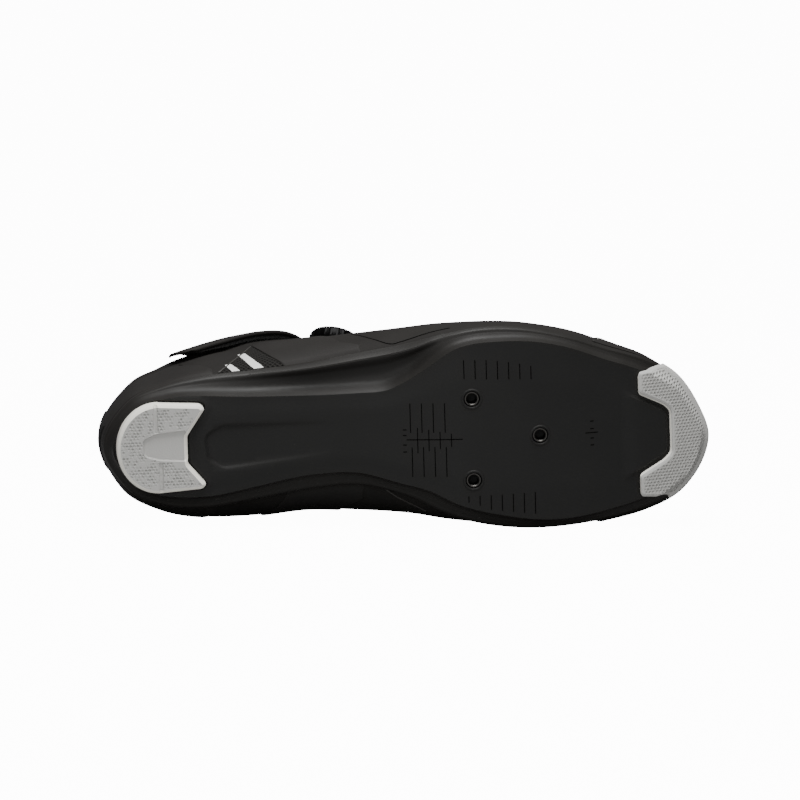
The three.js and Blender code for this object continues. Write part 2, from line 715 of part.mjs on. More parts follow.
// Frame on the last: a point, the way out of the surface and the way along it to the toe
function seatOn(p, g, lift) {
  const step = 0.01;
  const point = acrossPoint(p, g);
  const ahead = acrossPoint(p + step, g).sub(acrossPoint(p - step, g)).normalize();
  const across = acrossPoint(p, g + step).sub(acrossPoint(p, g - step)).normalize();
  const out = ahead.clone().cross(across).normalize();
  return { point: point.addScaledVector(out, lift), ahead, out, across: out.clone().cross(ahead) };
}

function placeOn(geometry, { point, ahead, across, out }) {
  const matrix = new THREE.Matrix4().makeBasis(ahead, across, out);
  matrix.setPosition(point);
  return geometry.applyMatrix4(matrix);
}

// Strap over the instep: its middle line in shares along and across the last, with its lift at each row
const STRAP_PATH = [
  { at: 0.405, across: 0.56, lift: 0.15 }, { at: 0.4, across: 0.42, lift: 0.6 },
  { at: 0.385, across: 0.2, lift: 1 }, { at: 0.365, across: 0, lift: 1 },
  { at: 0.335, across: -0.2, lift: 1 }, { at: 0.30, across: -0.37, lift: 1 },
  { at: 0.25, across: -0.5, lift: 0.9 }, { at: 0.19, across: -0.58, lift: 0.7 },
  { at: 0.145, across: -0.61, lift: 0.7 },
];
const STRAP_STEPS = 22;
const STRAP_ACROSS = 4;

function strapSheet() {
  const rows = STRAP_PATH.map(({ at, across, lift }) => {
    const seat = seatOn(at, across, GAP + STRAP_THICKNESS + lift * STRAP_LIFT);
    return { middle: seat.point, out: seat.out };
  });
  const line = new THREE.CatmullRomCurve3(rows.map(({ middle }) => middle), false, 'centripetal');
  const outs = new THREE.CatmullRomCurve3(rows.map(({ out }) => out), false, 'centripetal');
  const points = [];
  for (let i = 0; i <= STRAP_STEPS; i += 1) {
    const share = i / STRAP_STEPS;
    const run = line.getTangent(share);
    const across = outs.getPoint(share).cross(run).normalize();
    for (let j = 0; j <= STRAP_ACROSS; j += 1) {
      const reach = STRAP_WIDTH * (j / STRAP_ACROSS - 0.5);
      points.push(line.getPoint(share).addScaledVector(across, reach));
    }
  }
  return mergeSheet(points, gridTriangles(STRAP_STEPS + 1, STRAP_ACROSS + 1, false));
}

function strap() {
  const sheet = strapSheet();
  const middle = sheet.lookup[Math.floor(STRAP_STEPS / 2) * (STRAP_ACROSS + 1) + STRAP_ACROSS / 2];
  const outward = Math.sign(sheet.normals[middle].z);
  return thicken(sheet, () => 0, offsetBy(-outward * STRAP_THICKNESS));
}

const DIAL_SEAT = { at: 0.404, across: -0.27 };

function dialBase() {
  const seat = seatOn(DIAL_SEAT.at, DIAL_SEAT.across, 0);
  const [top, foot] = [DIAL_RADIUS + DIAL_BASE_LIP, DIAL_RADIUS + DIAL_BASE_FLARE];
  const body = new THREE.CylinderGeometry(top, foot, DIAL_BASE_HEIGHT * 2, 28);
  body.rotateX(Math.PI / 2);
  const solid = toSolid(placeOn(body, seat)).subtract(lastForm(GAP));
  return fromSolid(solid.subtract(laceTube(LACE_DIAMETER / 2 + GAP)));
}

function dialKnob() {
  const seat = seatOn(DIAL_SEAT.at, DIAL_SEAT.across, DIAL_BASE_HEIGHT + GAP);
  const outline = new THREE.Shape();
  for (let i = 0; i < DIAL_RIBS * 2; i += 1) {
    const radius = DIAL_RADIUS - (i % 2) * DIAL_RIB_DEPTH;
    const turn = Math.PI * i / DIAL_RIBS;
    outline[i ? 'lineTo' : 'moveTo'](radius * Math.cos(turn), radius * Math.sin(turn));
  }
  outline.closePath();
  const rim = DIAL_RADIUS * 0.08;
  const knob = new THREE.ExtrudeGeometry(outline, {
    depth: DIAL_KNOB_HEIGHT - 2 * rim,
    bevelThickness: rim,
    bevelSize: rim,
    bevelOffset: -rim,
    bevelSegments: 1,
  });
  knob.translate(0, 0, rim);
  return fromSolid(toSolid(placeOn(knob, seat)));
}

// Lace from the dial through the guides, and its last end in the front lateral guide
const GUIDES = [
  { name: 'guide_medial_rear', at: 0.475, across: 0.2 },
  { name: 'guide_lateral_rear', at: 0.52, across: -0.19 },
  { name: 'guide_medial_front', at: 0.565, across: 0.18 },
  { name: 'guide_lateral_front', at: 0.61, across: -0.165 },
];
const GUIDE_RUN = 0.026;

function lacePath() {
  const stops = [{ at: DIAL_SEAT.at + 0.03, across: DIAL_SEAT.across + 0.03 }];
  for (const { at, across } of GUIDES) {
    const reach = across + Math.sign(across) * 0.012;
    stops.push({ at: at - GUIDE_RUN, across: across * 0.86 });
    stops.push({ at: at - GUIDE_RUN / 2, across: reach });
    stops.push({ at: at + GUIDE_RUN / 2, across: reach });
    stops.push({ at: at + GUIDE_RUN, across: across * 0.86 });
  }
  stops.pop();
  const points = [];
  stops.forEach((stop, i) => {
    const next = stops[i + 1];
    const crosses = next && Math.abs(next.across - stop.across) > 0.15;
    const parts = crosses ? 5 : 1;
    for (let k = 0; k < parts; k += 1) {
      const share = k / parts;
      const at = next ? THREE.MathUtils.lerp(stop.at, next.at, share) : stop.at;
      const across = next ? THREE.MathUtils.lerp(stop.across, next.across, share) : stop.across;
      points.push(seatOn(at, across, GAP + LACE_LIFT + LACE_DIAMETER / 2).point);
    }
  });
  return new THREE.CatmullRomCurve3(points, false, 'centripetal');
}

function laceTube(radius) {
  const section = new THREE.Shape();
  const sides = 6;
  for (let i = 0; i < sides; i += 1) {
    const turn = 2 * Math.PI * i / sides;
    section[i ? 'lineTo' : 'moveTo'](radius * Math.cos(turn), radius * Math.sin(turn));
  }
  section.closePath();
  const path = lacePath();
  const steps = Math.round(path.getLength() / LACE_STEP);
  return toSolid(new THREE.ExtrudeGeometry(section, { steps, bevelEnabled: false, extrudePath: path }));
}

function laceGuide({ at, across }) {
  const seat = seatOn(at, across, 0);
  const body = new THREE.BoxGeometry(GUIDE_LENGTH, GUIDE_WIDTH, GUIDE_HEIGHT * 2);
  const solid = toSolid(placeOn(body, seat)).subtract(lastForm(GAP));
  return fromSolid(solid.subtract(laceTube(LACE_DIAMETER / 2 + GAP)));
}

function insole() {
  const ring = ({ p, side }) => {
    const ray = rayAt(p, side);
    const edge = ray.rim - FEATHER_INSET - feltEdge(p, side) - INSOLE_CLEARANCE;
    const at = (distance, lift) => alongRay(ray, distance, topZ(ray.x + ray.dx * distance) + lift);
    const top = GAP + INSOLE_THICKNESS;
    return [at(0, GAP), at(edge, GAP), at(edge, top), at(0, top)];
  };
  const rings = STATIONS.map(ring);
  return closedBody(rings.flat(), gridTriangles(rings.length, 4, true));
}

// Point on the last across both sides: g is -1 at the lateral sole, 0 at the ridge, 1 at the medial sole
const acrossPoint = (p, g) => lastPoint(p, g < 0 ? LATERAL : MEDIAL, 1 - Math.abs(g));

const TONGUE = { top: 0.345, root: 0.73, half: 0.32, steps: 14, across: 8 };

function tongue() {
  const points = [];
  for (let i = 0; i <= TONGUE.steps; i += 1) {
    const p = THREE.MathUtils.lerp(TONGUE.top, TONGUE.root, i / TONGUE.steps);
    for (let j = 0; j <= TONGUE.across; j += 1) {
      points.push(acrossPoint(p, THREE.MathUtils.lerp(-TONGUE.half, TONGUE.half, j / TONGUE.across)));
    }
  }
  const sheet = mergeSheet(points, gridTriangles(TONGUE.steps + 1, TONGUE.across + 1, false));
  const outward = Math.sign(sheet.normals[Math.floor(sheet.normals.length / 2)].z);
  const clearance = WALL + TONGUE_CLEARANCE;
  return thicken(
    sheet,
    () => -outward * clearance,
    offsetBy(-outward * (clearance + TONGUE_THICKNESS)),
  );
}

const finish = (color, roughness, metalness = 0) => ({ color, roughness, metalness });
const FINISH = {
  plate: finish(0x1c1c1d, 0.5),
  pad: finish(0xb3b1aa, 0.75),
  metal: finish(0x8d8a84, 0.35, 1),
  microfibre: finish(0x2b2a29, 0.6),
  lining: finish(0x1d1c1c, 0.9),
  film: finish(0x353331, 0.45),
  gloss: finish(0x0a0a0a, 0.15),
  lace: finish(0x9a9a98, 0.5),
};

const group = new THREE.Group();
const shoe = new THREE.Group();
group.add(shoe);

function addPiece(name, geometry, look) {
  const mesh = new THREE.Mesh(geometry, new THREE.MeshStandardMaterial(look));
  mesh.name = name;
  shoe.add(mesh);
}

addPiece('outsole', outsole(), FINISH.plate);
addPiece('heel_tread', heelTread(), FINISH.pad);
addPiece('toe_tread', toeTread(), FINISH.pad);
for (const bolt of BOLTS) addPiece(bolt.name, nut(bolt), FINISH.metal);
addPiece('insole', insole(), FINISH.lining);
addPiece('upper', upper(), FINISH.microfibre);
addPiece('tongue', tongue(), FINISH.lining);
addPiece('toe_cap', sidePanel(TOE_CAP, 'both'), FINISH.film);
addPiece('heel_counter', sidePanel(HEEL_COUNTER, 'both'), FINISH.film);
addPiece('quarter_lateral', sidePanel(QUARTER, 'lateral'), FINISH.film);
addPiece('quarter_medial', sidePanel(QUARTER, 'medial'), FINISH.film);
addPiece('heel_tab', heelTab(), FINISH.lining);
addPiece('instep_strap', strap(), FINISH.microfibre);
addPiece('dial_base', dialBase(), FINISH.gloss);
addPiece('dial_knob', dialKnob(), FINISH.gloss);
for (const guide of GUIDES) addPiece(guide.name, laceGuide(guide), FINISH.gloss);
addPiece('lace', fromSolid(laceTube(LACE_DIAMETER / 2)), FINISH.lace);

// Lay the shoe down: the hull face under its weight becomes the floor
function layDown() {
  const points = [];
  const centre = new THREE.Vector3();
  let volume = 0;
  for (const mesh of shoe.children) {
    const position = mesh.geometry.getAttribute('position');
    const index = mesh.geometry.getIndex().array;
    const corner = (i) => new THREE.Vector3().fromBufferAttribute(position, i);
    for (let i = 0; i < position.count; i += 1) points.push(corner(i));
    for (let i = 0; i < index.length; i += 3) {
      const [a, b, c] = [corner(index[i]), corner(index[i + 1]), corner(index[i + 2])];
      const share = a.dot(b.clone().cross(c)) / 6;
      centre.addScaledVector(a.add(b).add(c), share / 4);
      volume += share;
    }
  }
  centre.divideScalar(volume);
  const hull = new ConvexHull().setFromPoints(points);
  const ray = new THREE.Ray(centre, new THREE.Vector3(0, MEDIAL, 0));
  let down = null;
  let nearest = Infinity;
  for (const face of hull.faces) {
    const distance = face.distanceToPoint(centre);
    const speed = face.normal.dot(ray.direction);
    if (speed <= 0) continue;
    const hit = -distance / speed;
    if (hit < nearest) {
      nearest = hit;
      down = face;
    }
  }
  const up = down.normal.clone().negate();
  const ahead = new THREE.Vector3(1, 0, 0).projectOnPlane(up).normalize();
  const back = up.clone().cross(ahead);
  const turn = new THREE.Matrix4().makeBasis(ahead, back, up).transpose();
  const box = new THREE.Box3().setFromPoints(points.map((v) => v.clone().applyMatrix4(turn)));
  const middle = box.getCenter(new THREE.Vector3());
  shoe.quaternion.setFromRotationMatrix(turn);
  shoe.position.set(-middle.x, -middle.y, -box.min.z);
}
layDown();

export default group;
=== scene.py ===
"""Right road cycling shoe with a three-bolt plate, an instep strap and a lace dial, lying on its medial side.

Sizes are millimetres in the shoe's own frame: x from heel to toe, y to the medial side, z up from the
ground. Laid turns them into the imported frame's metres.
"""
import logging
import math
from dataclasses import dataclass
from enum import Enum
from typing import Callable, Iterable, Optional, Sequence

import bmesh
import bpy
import numpy as np
from mathutils import Matrix, Vector
from mathutils.geometry import delaunay_2d_cdt


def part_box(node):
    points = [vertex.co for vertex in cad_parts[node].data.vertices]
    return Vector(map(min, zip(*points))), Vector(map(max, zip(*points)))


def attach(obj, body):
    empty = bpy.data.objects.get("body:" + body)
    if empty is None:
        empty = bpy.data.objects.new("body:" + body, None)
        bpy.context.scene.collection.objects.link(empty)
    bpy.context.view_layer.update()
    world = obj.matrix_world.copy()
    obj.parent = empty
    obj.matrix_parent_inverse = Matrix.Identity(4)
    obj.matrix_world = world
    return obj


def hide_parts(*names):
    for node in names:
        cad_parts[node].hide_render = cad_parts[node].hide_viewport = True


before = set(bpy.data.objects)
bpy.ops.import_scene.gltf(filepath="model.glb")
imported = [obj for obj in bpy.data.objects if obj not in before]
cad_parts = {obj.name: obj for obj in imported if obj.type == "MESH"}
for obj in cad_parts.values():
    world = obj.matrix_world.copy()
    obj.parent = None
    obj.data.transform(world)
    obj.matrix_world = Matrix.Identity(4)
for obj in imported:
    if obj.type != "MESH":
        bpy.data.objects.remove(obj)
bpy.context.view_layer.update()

log = logging.getLogger("cycling_shoe")
Array = np.ndarray
Table = dict[str, tuple[float, ...]]

MEDIAL, LATERAL = 1, -1

# Rim outline of the sole: shares of the length, half widths as shares of the ball width
RIM: Table = {
    "at": (0.045, 0.10, 0.16, 0.25, 0.34, 0.42, 0.50, 0.56, 0.62, 0.69, 0.76, 0.83, 0.90, 0.95, 0.985),
    "medial": (
        0.207, 0.278, 0.298, 0.27, 0.236, 0.229, 0.29, 0.375, 0.43, 0.463, 0.468, 0.45, 0.408, 0.343, 0.23,
    ),
    "lateral": (
        0.24, 0.308, 0.342, 0.36, 0.382, 0.414, 0.455, 0.5, 0.528, 0.517, 0.467, 0.391, 0.312, 0.212, 0.05,
    ),
}
# Plate's edge, in from the rim, as multiples of the edge roll
PLATE: Table = {
    "at": (0.0, 0.10, 0.20, 0.32, 0.42, 0.465, 0.50, 0.54, 0.58, 0.65, 0.75, 0.88, 1.0),
    "medial": (0.65, 1.1, 1.2, 1.4, 1.2, 1.05, 1.1, 1.4, 1.25, 1.1, 0.8, 0.9, 0.6),
    "lateral": (0.65, 0.75, 1.4, 2.05, 2.7, 2.9, 2.5, 1.8, 1.05, 0.9, 0.7, 0.85, 0.6),
}
# Side wall of the sole: way out from the plate's edge, share of the thickness, and what the scoop adds
WALL_PROFILE: Table = {
    "at": (0.0, 0.22, 0.58, 0.86, 1.0),
    "share": (0.05, 0.4, 0.58, 0.66, 0.82),
    "scoop": (0.0, 0.16, 0.04, -0.24, 0.0),
}
SCOOP_INSETS = (1.3, 2.4)
# Heights of the plate's underside and of the sole's top, as shares of the toe lift
HEIGHT: Table = {
    "at": (0.0, 0.06, 0.16, 0.30, 0.42, 0.50, 0.58, 0.64, 0.72, 0.80, 0.90, 0.96, 1.0),
    "plate": (0.21, 0.15, 0.14, 0.21, 0.28, 0.21, 0.1, 0.11, 0.19, 0.33, 0.56, 0.71, 0.83),
    "top": (0.5, 0.48, 0.49, 0.56, 0.6, 0.52, 0.39, 0.395, 0.46, 0.585, 0.78, 0.91, 1.0),
}
# Spine of the last: sideways as a share of the ball width, ridge as a share of the instep height
SPINE: Table = {
    "at": (0.16, 0.25, 0.33, 0.40, 0.46, 0.54, 0.62, 0.70, 0.78, 0.86),
    "side": (-0.02, -0.033, -0.04, -0.043, -0.04, -0.033, -0.022, -0.005, 0.022, 0.055),
    "ridge": (1.1, 1.12, 1.07, 0.985, 0.9, 0.785, 0.69, 0.62, 0.575, 0.55),
}
# Fullness of the last: swell of each side in bulges, its rise, and how broad the shoulder is
FULLNESS: Table = {
    "at": (0.0, 0.08, 0.16, 0.25, 0.34, 0.42, 0.50, 0.56, 0.62, 0.70, 0.80, 0.88, 0.94, 1.0),
    "medial": (0.2, 1.5, 2.4, 3.3, 3.6, 4.1, 3.2, 1.9, 1.0, 0.8, 1.2, 1.3, 1.2, 0.3),
    "lateral": (0.2, 0.0, 0.8, 1.3, 1.4, 1.5, 1.5, 1.2, 0.8, 0.8, 0.9, 0.4, -0.1, 0.3),
    "rise": (0.24, 0.22, 0.2, 0.18, 0.17, 0.18, 0.2, 0.24, 0.28, 0.32, 0.4, 0.46, 0.48, 0.5),
    "shoulder": (0.94, 0.87, 0.87, 0.9, 0.9, 0.82, 0.74, 0.68, 0.64, 0.62, 0.64, 0.67, 0.69, 0.7),
}
# Edge of the collar and throat, as a share of the way from the sole to the ridge
OPENING: Table = {
    "at": (0.0, 0.05, 0.10, 0.16, 0.25, 0.30, 0.34, 0.38, 0.42, 0.50, 0.58, 0.64, 0.68),
    "medial": (0.625, 0.615, 0.565, 0.51, 0.5, 0.55, 0.64, 0.76, 0.83, 0.865, 0.885, 0.92, 1.0),
    "lateral": (0.625, 0.615, 0.565, 0.5, 0.49, 0.54, 0.63, 0.76, 0.83, 0.865, 0.885, 0.92, 1.0),
}
# Panels as seen from the side: shares of the length, heights above the sole's seam in instep heights
TOE_CAP: Table = {"at": (0.812, 0.822, 0.85, 0.88), "up": (0.02, 0.075, 0.2, 0.44)}
HEEL_COUNTER: Table = {"at": (-0.05, 0.04, 0.1, 0.13, 0.185), "up": (0.475, 0.46, 0.36, 0.24, 0.03)}
QUARTER_REAR: Table = {"up": (0.3, 0.4), "at": (0.2592, 0.27)}
QUARTER_FRONT: Table = {"up": (0.02, 0.073, 0.31, 0.41), "at": (0.4288, 0.3988, 0.3713, 0.345)}
# Middle line of the strap in shares along and across the last, with its lift
STRAP_PATH: Table = {
    "at": (0.405, 0.4, 0.385, 0.365, 0.335, 0.30, 0.25, 0.19, 0.134),
    "across": (0.56, 0.42, 0.2, 0.0, -0.2, -0.37, -0.5, -0.58, -0.615),
    "lift": (0.15, 0.6, 1.0, 1.0, 1.0, 1.0, 0.9, 0.7, 0.7),
}
# Lace guides: station, and share across the last
GUIDES: dict[str, tuple[float, float]] = {
    "guide_medial_rear": (0.475, 0.2),
    "guide_lateral_rear": (0.52, -0.19),
    "guide_medial_front": (0.565, 0.18),
    "guide_lateral_front": (0.61, -0.165),
}
# Recess of the waist, as seen from below, in millimetres
WAIST_RECESS = (
    (43.7, -7.2), (51.8, -11.8), (99.2, -10.6), (113.9, -2.8), (107.2, 3.7), (52.1, 8.9), (44.8, 4.2),
)
# Places on the pads as seen from below, in millimetres
HEEL_RECESS = (
    (16.8, -7.3), (22.5, -9.8), (35.8, -10.9), (36.6, 0.3),
    (36.0, 3.4), (23.7, 2.4), (18.4, 0.8), (17.0, -0.6),
)
HEEL_RIBS = (
    ((22.0, -22.4), (23.4, -22.4), (23.4, -10.0), (22.0, -10.0)),
    ((23.9, 3.4), (25.2, 3.4), (25.2, 16.6), (23.9, 16.6)),
)
# Steps in from the outside of the toe's pad that its mesh follows
TOE_WALL_STEPS = (0.5, 1.1, 1.8, 2.6, 3.5, 4.5)
# The cleat's ticks: from x, y to x, y as seen from below, in millimetres
CLEAT_TICKS: list[tuple[float, float, float, float]] = [
    *((135.0 + 5 * i, -16.8, 135.0 + 5 * i, -3.6) for i in range(4)),
    *((138.0 + 4.87 * i, -5.8 + 0.9 * i, 138.0 + 4.87 * i, 5.5 - 0.9 * i) for i in range(4)),
    *((135.5 + 4.93 * i, 2.8, 135.5 + 4.93 * i, 16.2) for i in range(4)),
    (133.2, -0.5, 157.5, -0.5),
    *((158.8 + 4.95 * i, -35.7 + 0.12 * i * i, 158.8 + 4.95 * i, -27.4 + 0.32 * i) for i in range(7)),
    *((159.6 + 4.92 * i, 25.3, 159.6 + 4.92 * i, end) for i, end in enumerate(
        (28.1, 29.7, 31.9, 32.7, 33.5, 34.3, 35.1),
    )),
    (212.4, 0.8, 218.0, 0.9),
]
# Short dashes beside the ticks
TICK_MARKS: list[tuple[float, float, float, float]] = [
    *((131.6, y, 133.2, y) for y in (-5.0, -2.5, 1.8, 4.9)),
    *((214.6, y, 216.2, y) for y in (-4.3, -0.9, 3.3, 6.4)),
]
# Flex creases over the toes: station, depth in millimetres, and how each wanders
FLEX_CREASES: Table = {
    "at": (0.605, 0.637, 0.668, 0.7),
    "depth": (0.35, 0.6, 0.5, 0.3),
    "wander": (0.003, 0.005, 0.004, 0.003),
    "phase": (0.4, 1.9, 3.1, 5.0),
}
# Knit window of the lateral side: share of the way up, and the stations of its two edges
WINDOW: Table = {
    "up": (0.01, 0.067, 0.117, 0.17, 0.232, 0.315),
    "rear": (0.1932, 0.2075, 0.2195, 0.232, 0.245, 0.2588),
    "front": (0.306, 0.2925, 0.282, 0.2735, 0.2658, 0.2592),
}
# Pale stripes on the window, in the same way
STRIPES: tuple[Table, ...] = (
    {
        "up": (0.016, 0.049, 0.083, 0.12, 0.161, 0.203),
        "rear": (0.2535, 0.248, 0.2435, 0.2395, 0.235, 0.2315),
        "front": (0.2695, 0.2642, 0.2583, 0.2535, 0.248, 0.244),
    },
    {
        "up": (0.015, 0.03, 0.045, 0.062, 0.08, 0.095),
        "rear": (0.217, 0.215, 0.213, 0.2107, 0.2085, 0.2072),
        "front": (0.23, 0.2275, 0.225, 0.2222, 0.2192, 0.217),
    },
)
# Seams on the shell: name, side, width, how proud, and places as station and share
SEAMS = (
    ("front_seam", LATERAL, 0.45, 0.1,
     ((0.4213, 0.27), (0.4513, 0.122), (0.4813, 0.03), (0.495, 0.034), (0.535, 0.056), (0.5763, 0.07))),
    ("heel_seam", LATERAL, 0.35, 0.1, ((0.1388, 0.296), (0.155, 0.17), (0.1712, 0.06))),
    ("window_edge", LATERAL, 0.7, 0.5,
     ((0.195, 0.018), (0.2075, 0.067), (0.2195, 0.117), (0.232, 0.17), (0.245, 0.232), (0.258, 0.315))),
    ("medial_film_edge", MEDIAL, 0.6, 0.35, ((0.4638, 0.01), (0.4875, 0.04), (0.51, 0.062), (0.53, 0.08))),
)
# Lowest and highest edge of the heel tab, in millimetres
TAB_HEIGHTS = (26.0, 60.0)


@dataclass(frozen=True)
class LastSizes:
    """Named sizes of the last and of the plate under it, in millimetres."""

    length: float = 268.0
    ball_width: float = 92.0
    instep_height: float = 100.0
    toe_lift: float = 33.0
    bulge: float = 10.0
    wall: float = 2.0
    gap: float = 0.3
    edge_roll: float = 6.0
    feather_inset: float = 1.0
    rim_round: float = 1.0
    heel_pivot: float = 0.16
    toe_pivot: float = 0.86
    heel_tip: float = -0.02
    toe_tip: float = 0.09
    seam_lift: float = 2.0


def smooth_column(table: Table, column: str, key: str = "at") -> Callable[[Array], Array]:
    """Smooth curve through one column of a table, flat beyond its ends.

    Args:
        table: Named columns of equal length.
        column: Name of the column to follow.
        key: Name of the column that it follows along.

    Returns:
        A function of stations that gives the column's values.
    """
    at = np.array(table[key])
    values = np.array(table[column])
    before = np.maximum(np.arange(len(at)) - 1, 0)
    after = np.minimum(np.arange(len(at)) + 1, len(at) - 1)
    slopes = (values[after] - values[before]) / (at[after] - at[before])

    def curve(where: Array) -> Array:
        """Values of the column at these stations."""
        x = np.clip(where, at[0], at[-1])
        i = np.clip(np.searchsorted(at, x, side="right") - 1, 0, len(at) - 2)
        span = at[i + 1] - at[i]
        t = (x - at[i]) / span
        start = values[i] * (1 + 2 * t) * (1 - t) ** 2 + slopes[i] * span * t * (1 - t) ** 2
        end = values[i + 1] * t * t * (3 - 2 * t) - slopes[i + 1] * span * t * t * (1 - t)
        return start + end

    return curve


def smoothstep(value: Array, low: float, high: float) -> Array:
    """Smooth ramp from 0 at low to 1 at high."""
    t = np.clip((value - low) / (high - low), 0, 1)
    return t * t * (3 - 2 * t)


def catmull_rom(points: Array, shares: Array, closed: bool = False) -> Array:
    """Points on a centripetal Catmull-Rom curve.

    Args:
        points: Control points, one a row.
        shares: Shares of the way along, from 0 to 1.
        closed: Whether the curve runs back to its first point.

    Returns:
        One point for each share.
    """
    count = len(points)
    if closed:
        ring = np.concatenate([points[-1:], points, points[:2]])
        place = np.clip(shares, 0, 1) * count
        i = np.minimum(place.astype(int), count - 1)
    else:
        ends = (2 * points[:1] - points[1:2], 2 * points[-1:] - points[-2:-1])
        ring = np.concatenate([ends[0], points, ends[1]])
        place = np.clip(shares, 0, 1) * (count - 1)
        i = np.minimum(place.astype(int), count - 2)
    t = (place - i)[:, None]
    p0, p1, p2, p3 = (ring[i + k] for k in range(4))
    d0, d1, d2 = (np.sqrt(np.linalg.norm(b - a, axis=1))[:, None] for a, b in ((p0, p1), (p1, p2), (p2, p3)))
    start = ((p1 - p0) / d0 - (p2 - p0) / (d0 + d1) + (p2 - p1) / d1) * d1
    end = ((p2 - p1) / d1 - (p3 - p1) / (d1 + d2) + (p3 - p2) / d2) * d1
    cubic = 2 * p1 - 2 * p2 + start + end
    square = -3 * p1 + 3 * p2 - 2 * start - end
    return p1 + start * t + square * t**2 + cubic * t**3


def unit(vectors: Array) -> Array:
    """Vectors scaled to length one."""
    return vectors / np.maximum(np.linalg.norm(vectors, axis=-1, keepdims=True), 1e-12)


def edge_distance(x: Array, y: Array, outline: Array) -> Array:
    """Distance to a closed outline, below zero inside it.

    Args:
        x: Stations.
        y: Sideways places, of the same shape.
        outline: Corners of the outline, one a row.

    Returns:
        Signed distances of the same shape.
    """
    nearest = np.full(np.shape(x), np.inf)
    inside = np.zeros(np.shape(x), bool)
    for (ax, ay), (bx, by) in zip(outline, np.roll(outline, -1, axis=0)):
        ex, ey = bx - ax, by - ay
        t = np.clip(((x - ax) * ex + (y - ay) * ey) / (ex * ex + ey * ey + 1e-12), 0, 1)
        nearest = np.minimum(nearest, np.hypot(x - ax - t * ex, y - ay - t * ey))
        if ay != by:
            crosses = (ay > y) != (by > y)
            inside ^= crosses & (x < (bx - ax) * (y - ay) / (by - ay) + ax)
    return np.where(inside, -nearest, nearest)


def rounded_outline(corners: Sequence[tuple[float, float]], radius: float, steps: int = 6) -> Array:
    """Closed outline with its corners rounded.

    Args:
        corners: Corners in order.
        radius: How far from each corner the round starts.
        steps: Points along each round.

    Returns:
        Points of the rounded outline.
    """
    points = []
    ring = np.array(corners, float)
    for before, corner, after in zip(np.roll(ring, 1, axis=0), ring, np.roll(ring, -1, axis=0)):
        back, ahead = before - corner, after - corner
        reach = min(radius, 0.45 * np.hypot(*back), 0.45 * np.hypot(*ahead))
        start = corner + back / np.hypot(*back) * reach
        end = corner + ahead / np.hypot(*ahead) * reach
        for t in np.linspace(0, 1, steps):
            points.append((1 - t) ** 2 * start + 2 * t * (1 - t) * corner + t * t * end)
    return np.array(points)


def resample(outline: Array, spacing: float) -> Array:
    """Closed outline with points at an even spacing."""
    ring = np.concatenate([outline, outline[:1]])
    run = np.concatenate([[0], np.cumsum(np.hypot(*np.diff(ring, axis=0).T))])
    places = np.linspace(0, run[-1], max(8, round(run[-1] / spacing)), endpoint=False)
    return np.stack([np.interp(places, run, ring[:, k]) for k in range(2)], axis=1)


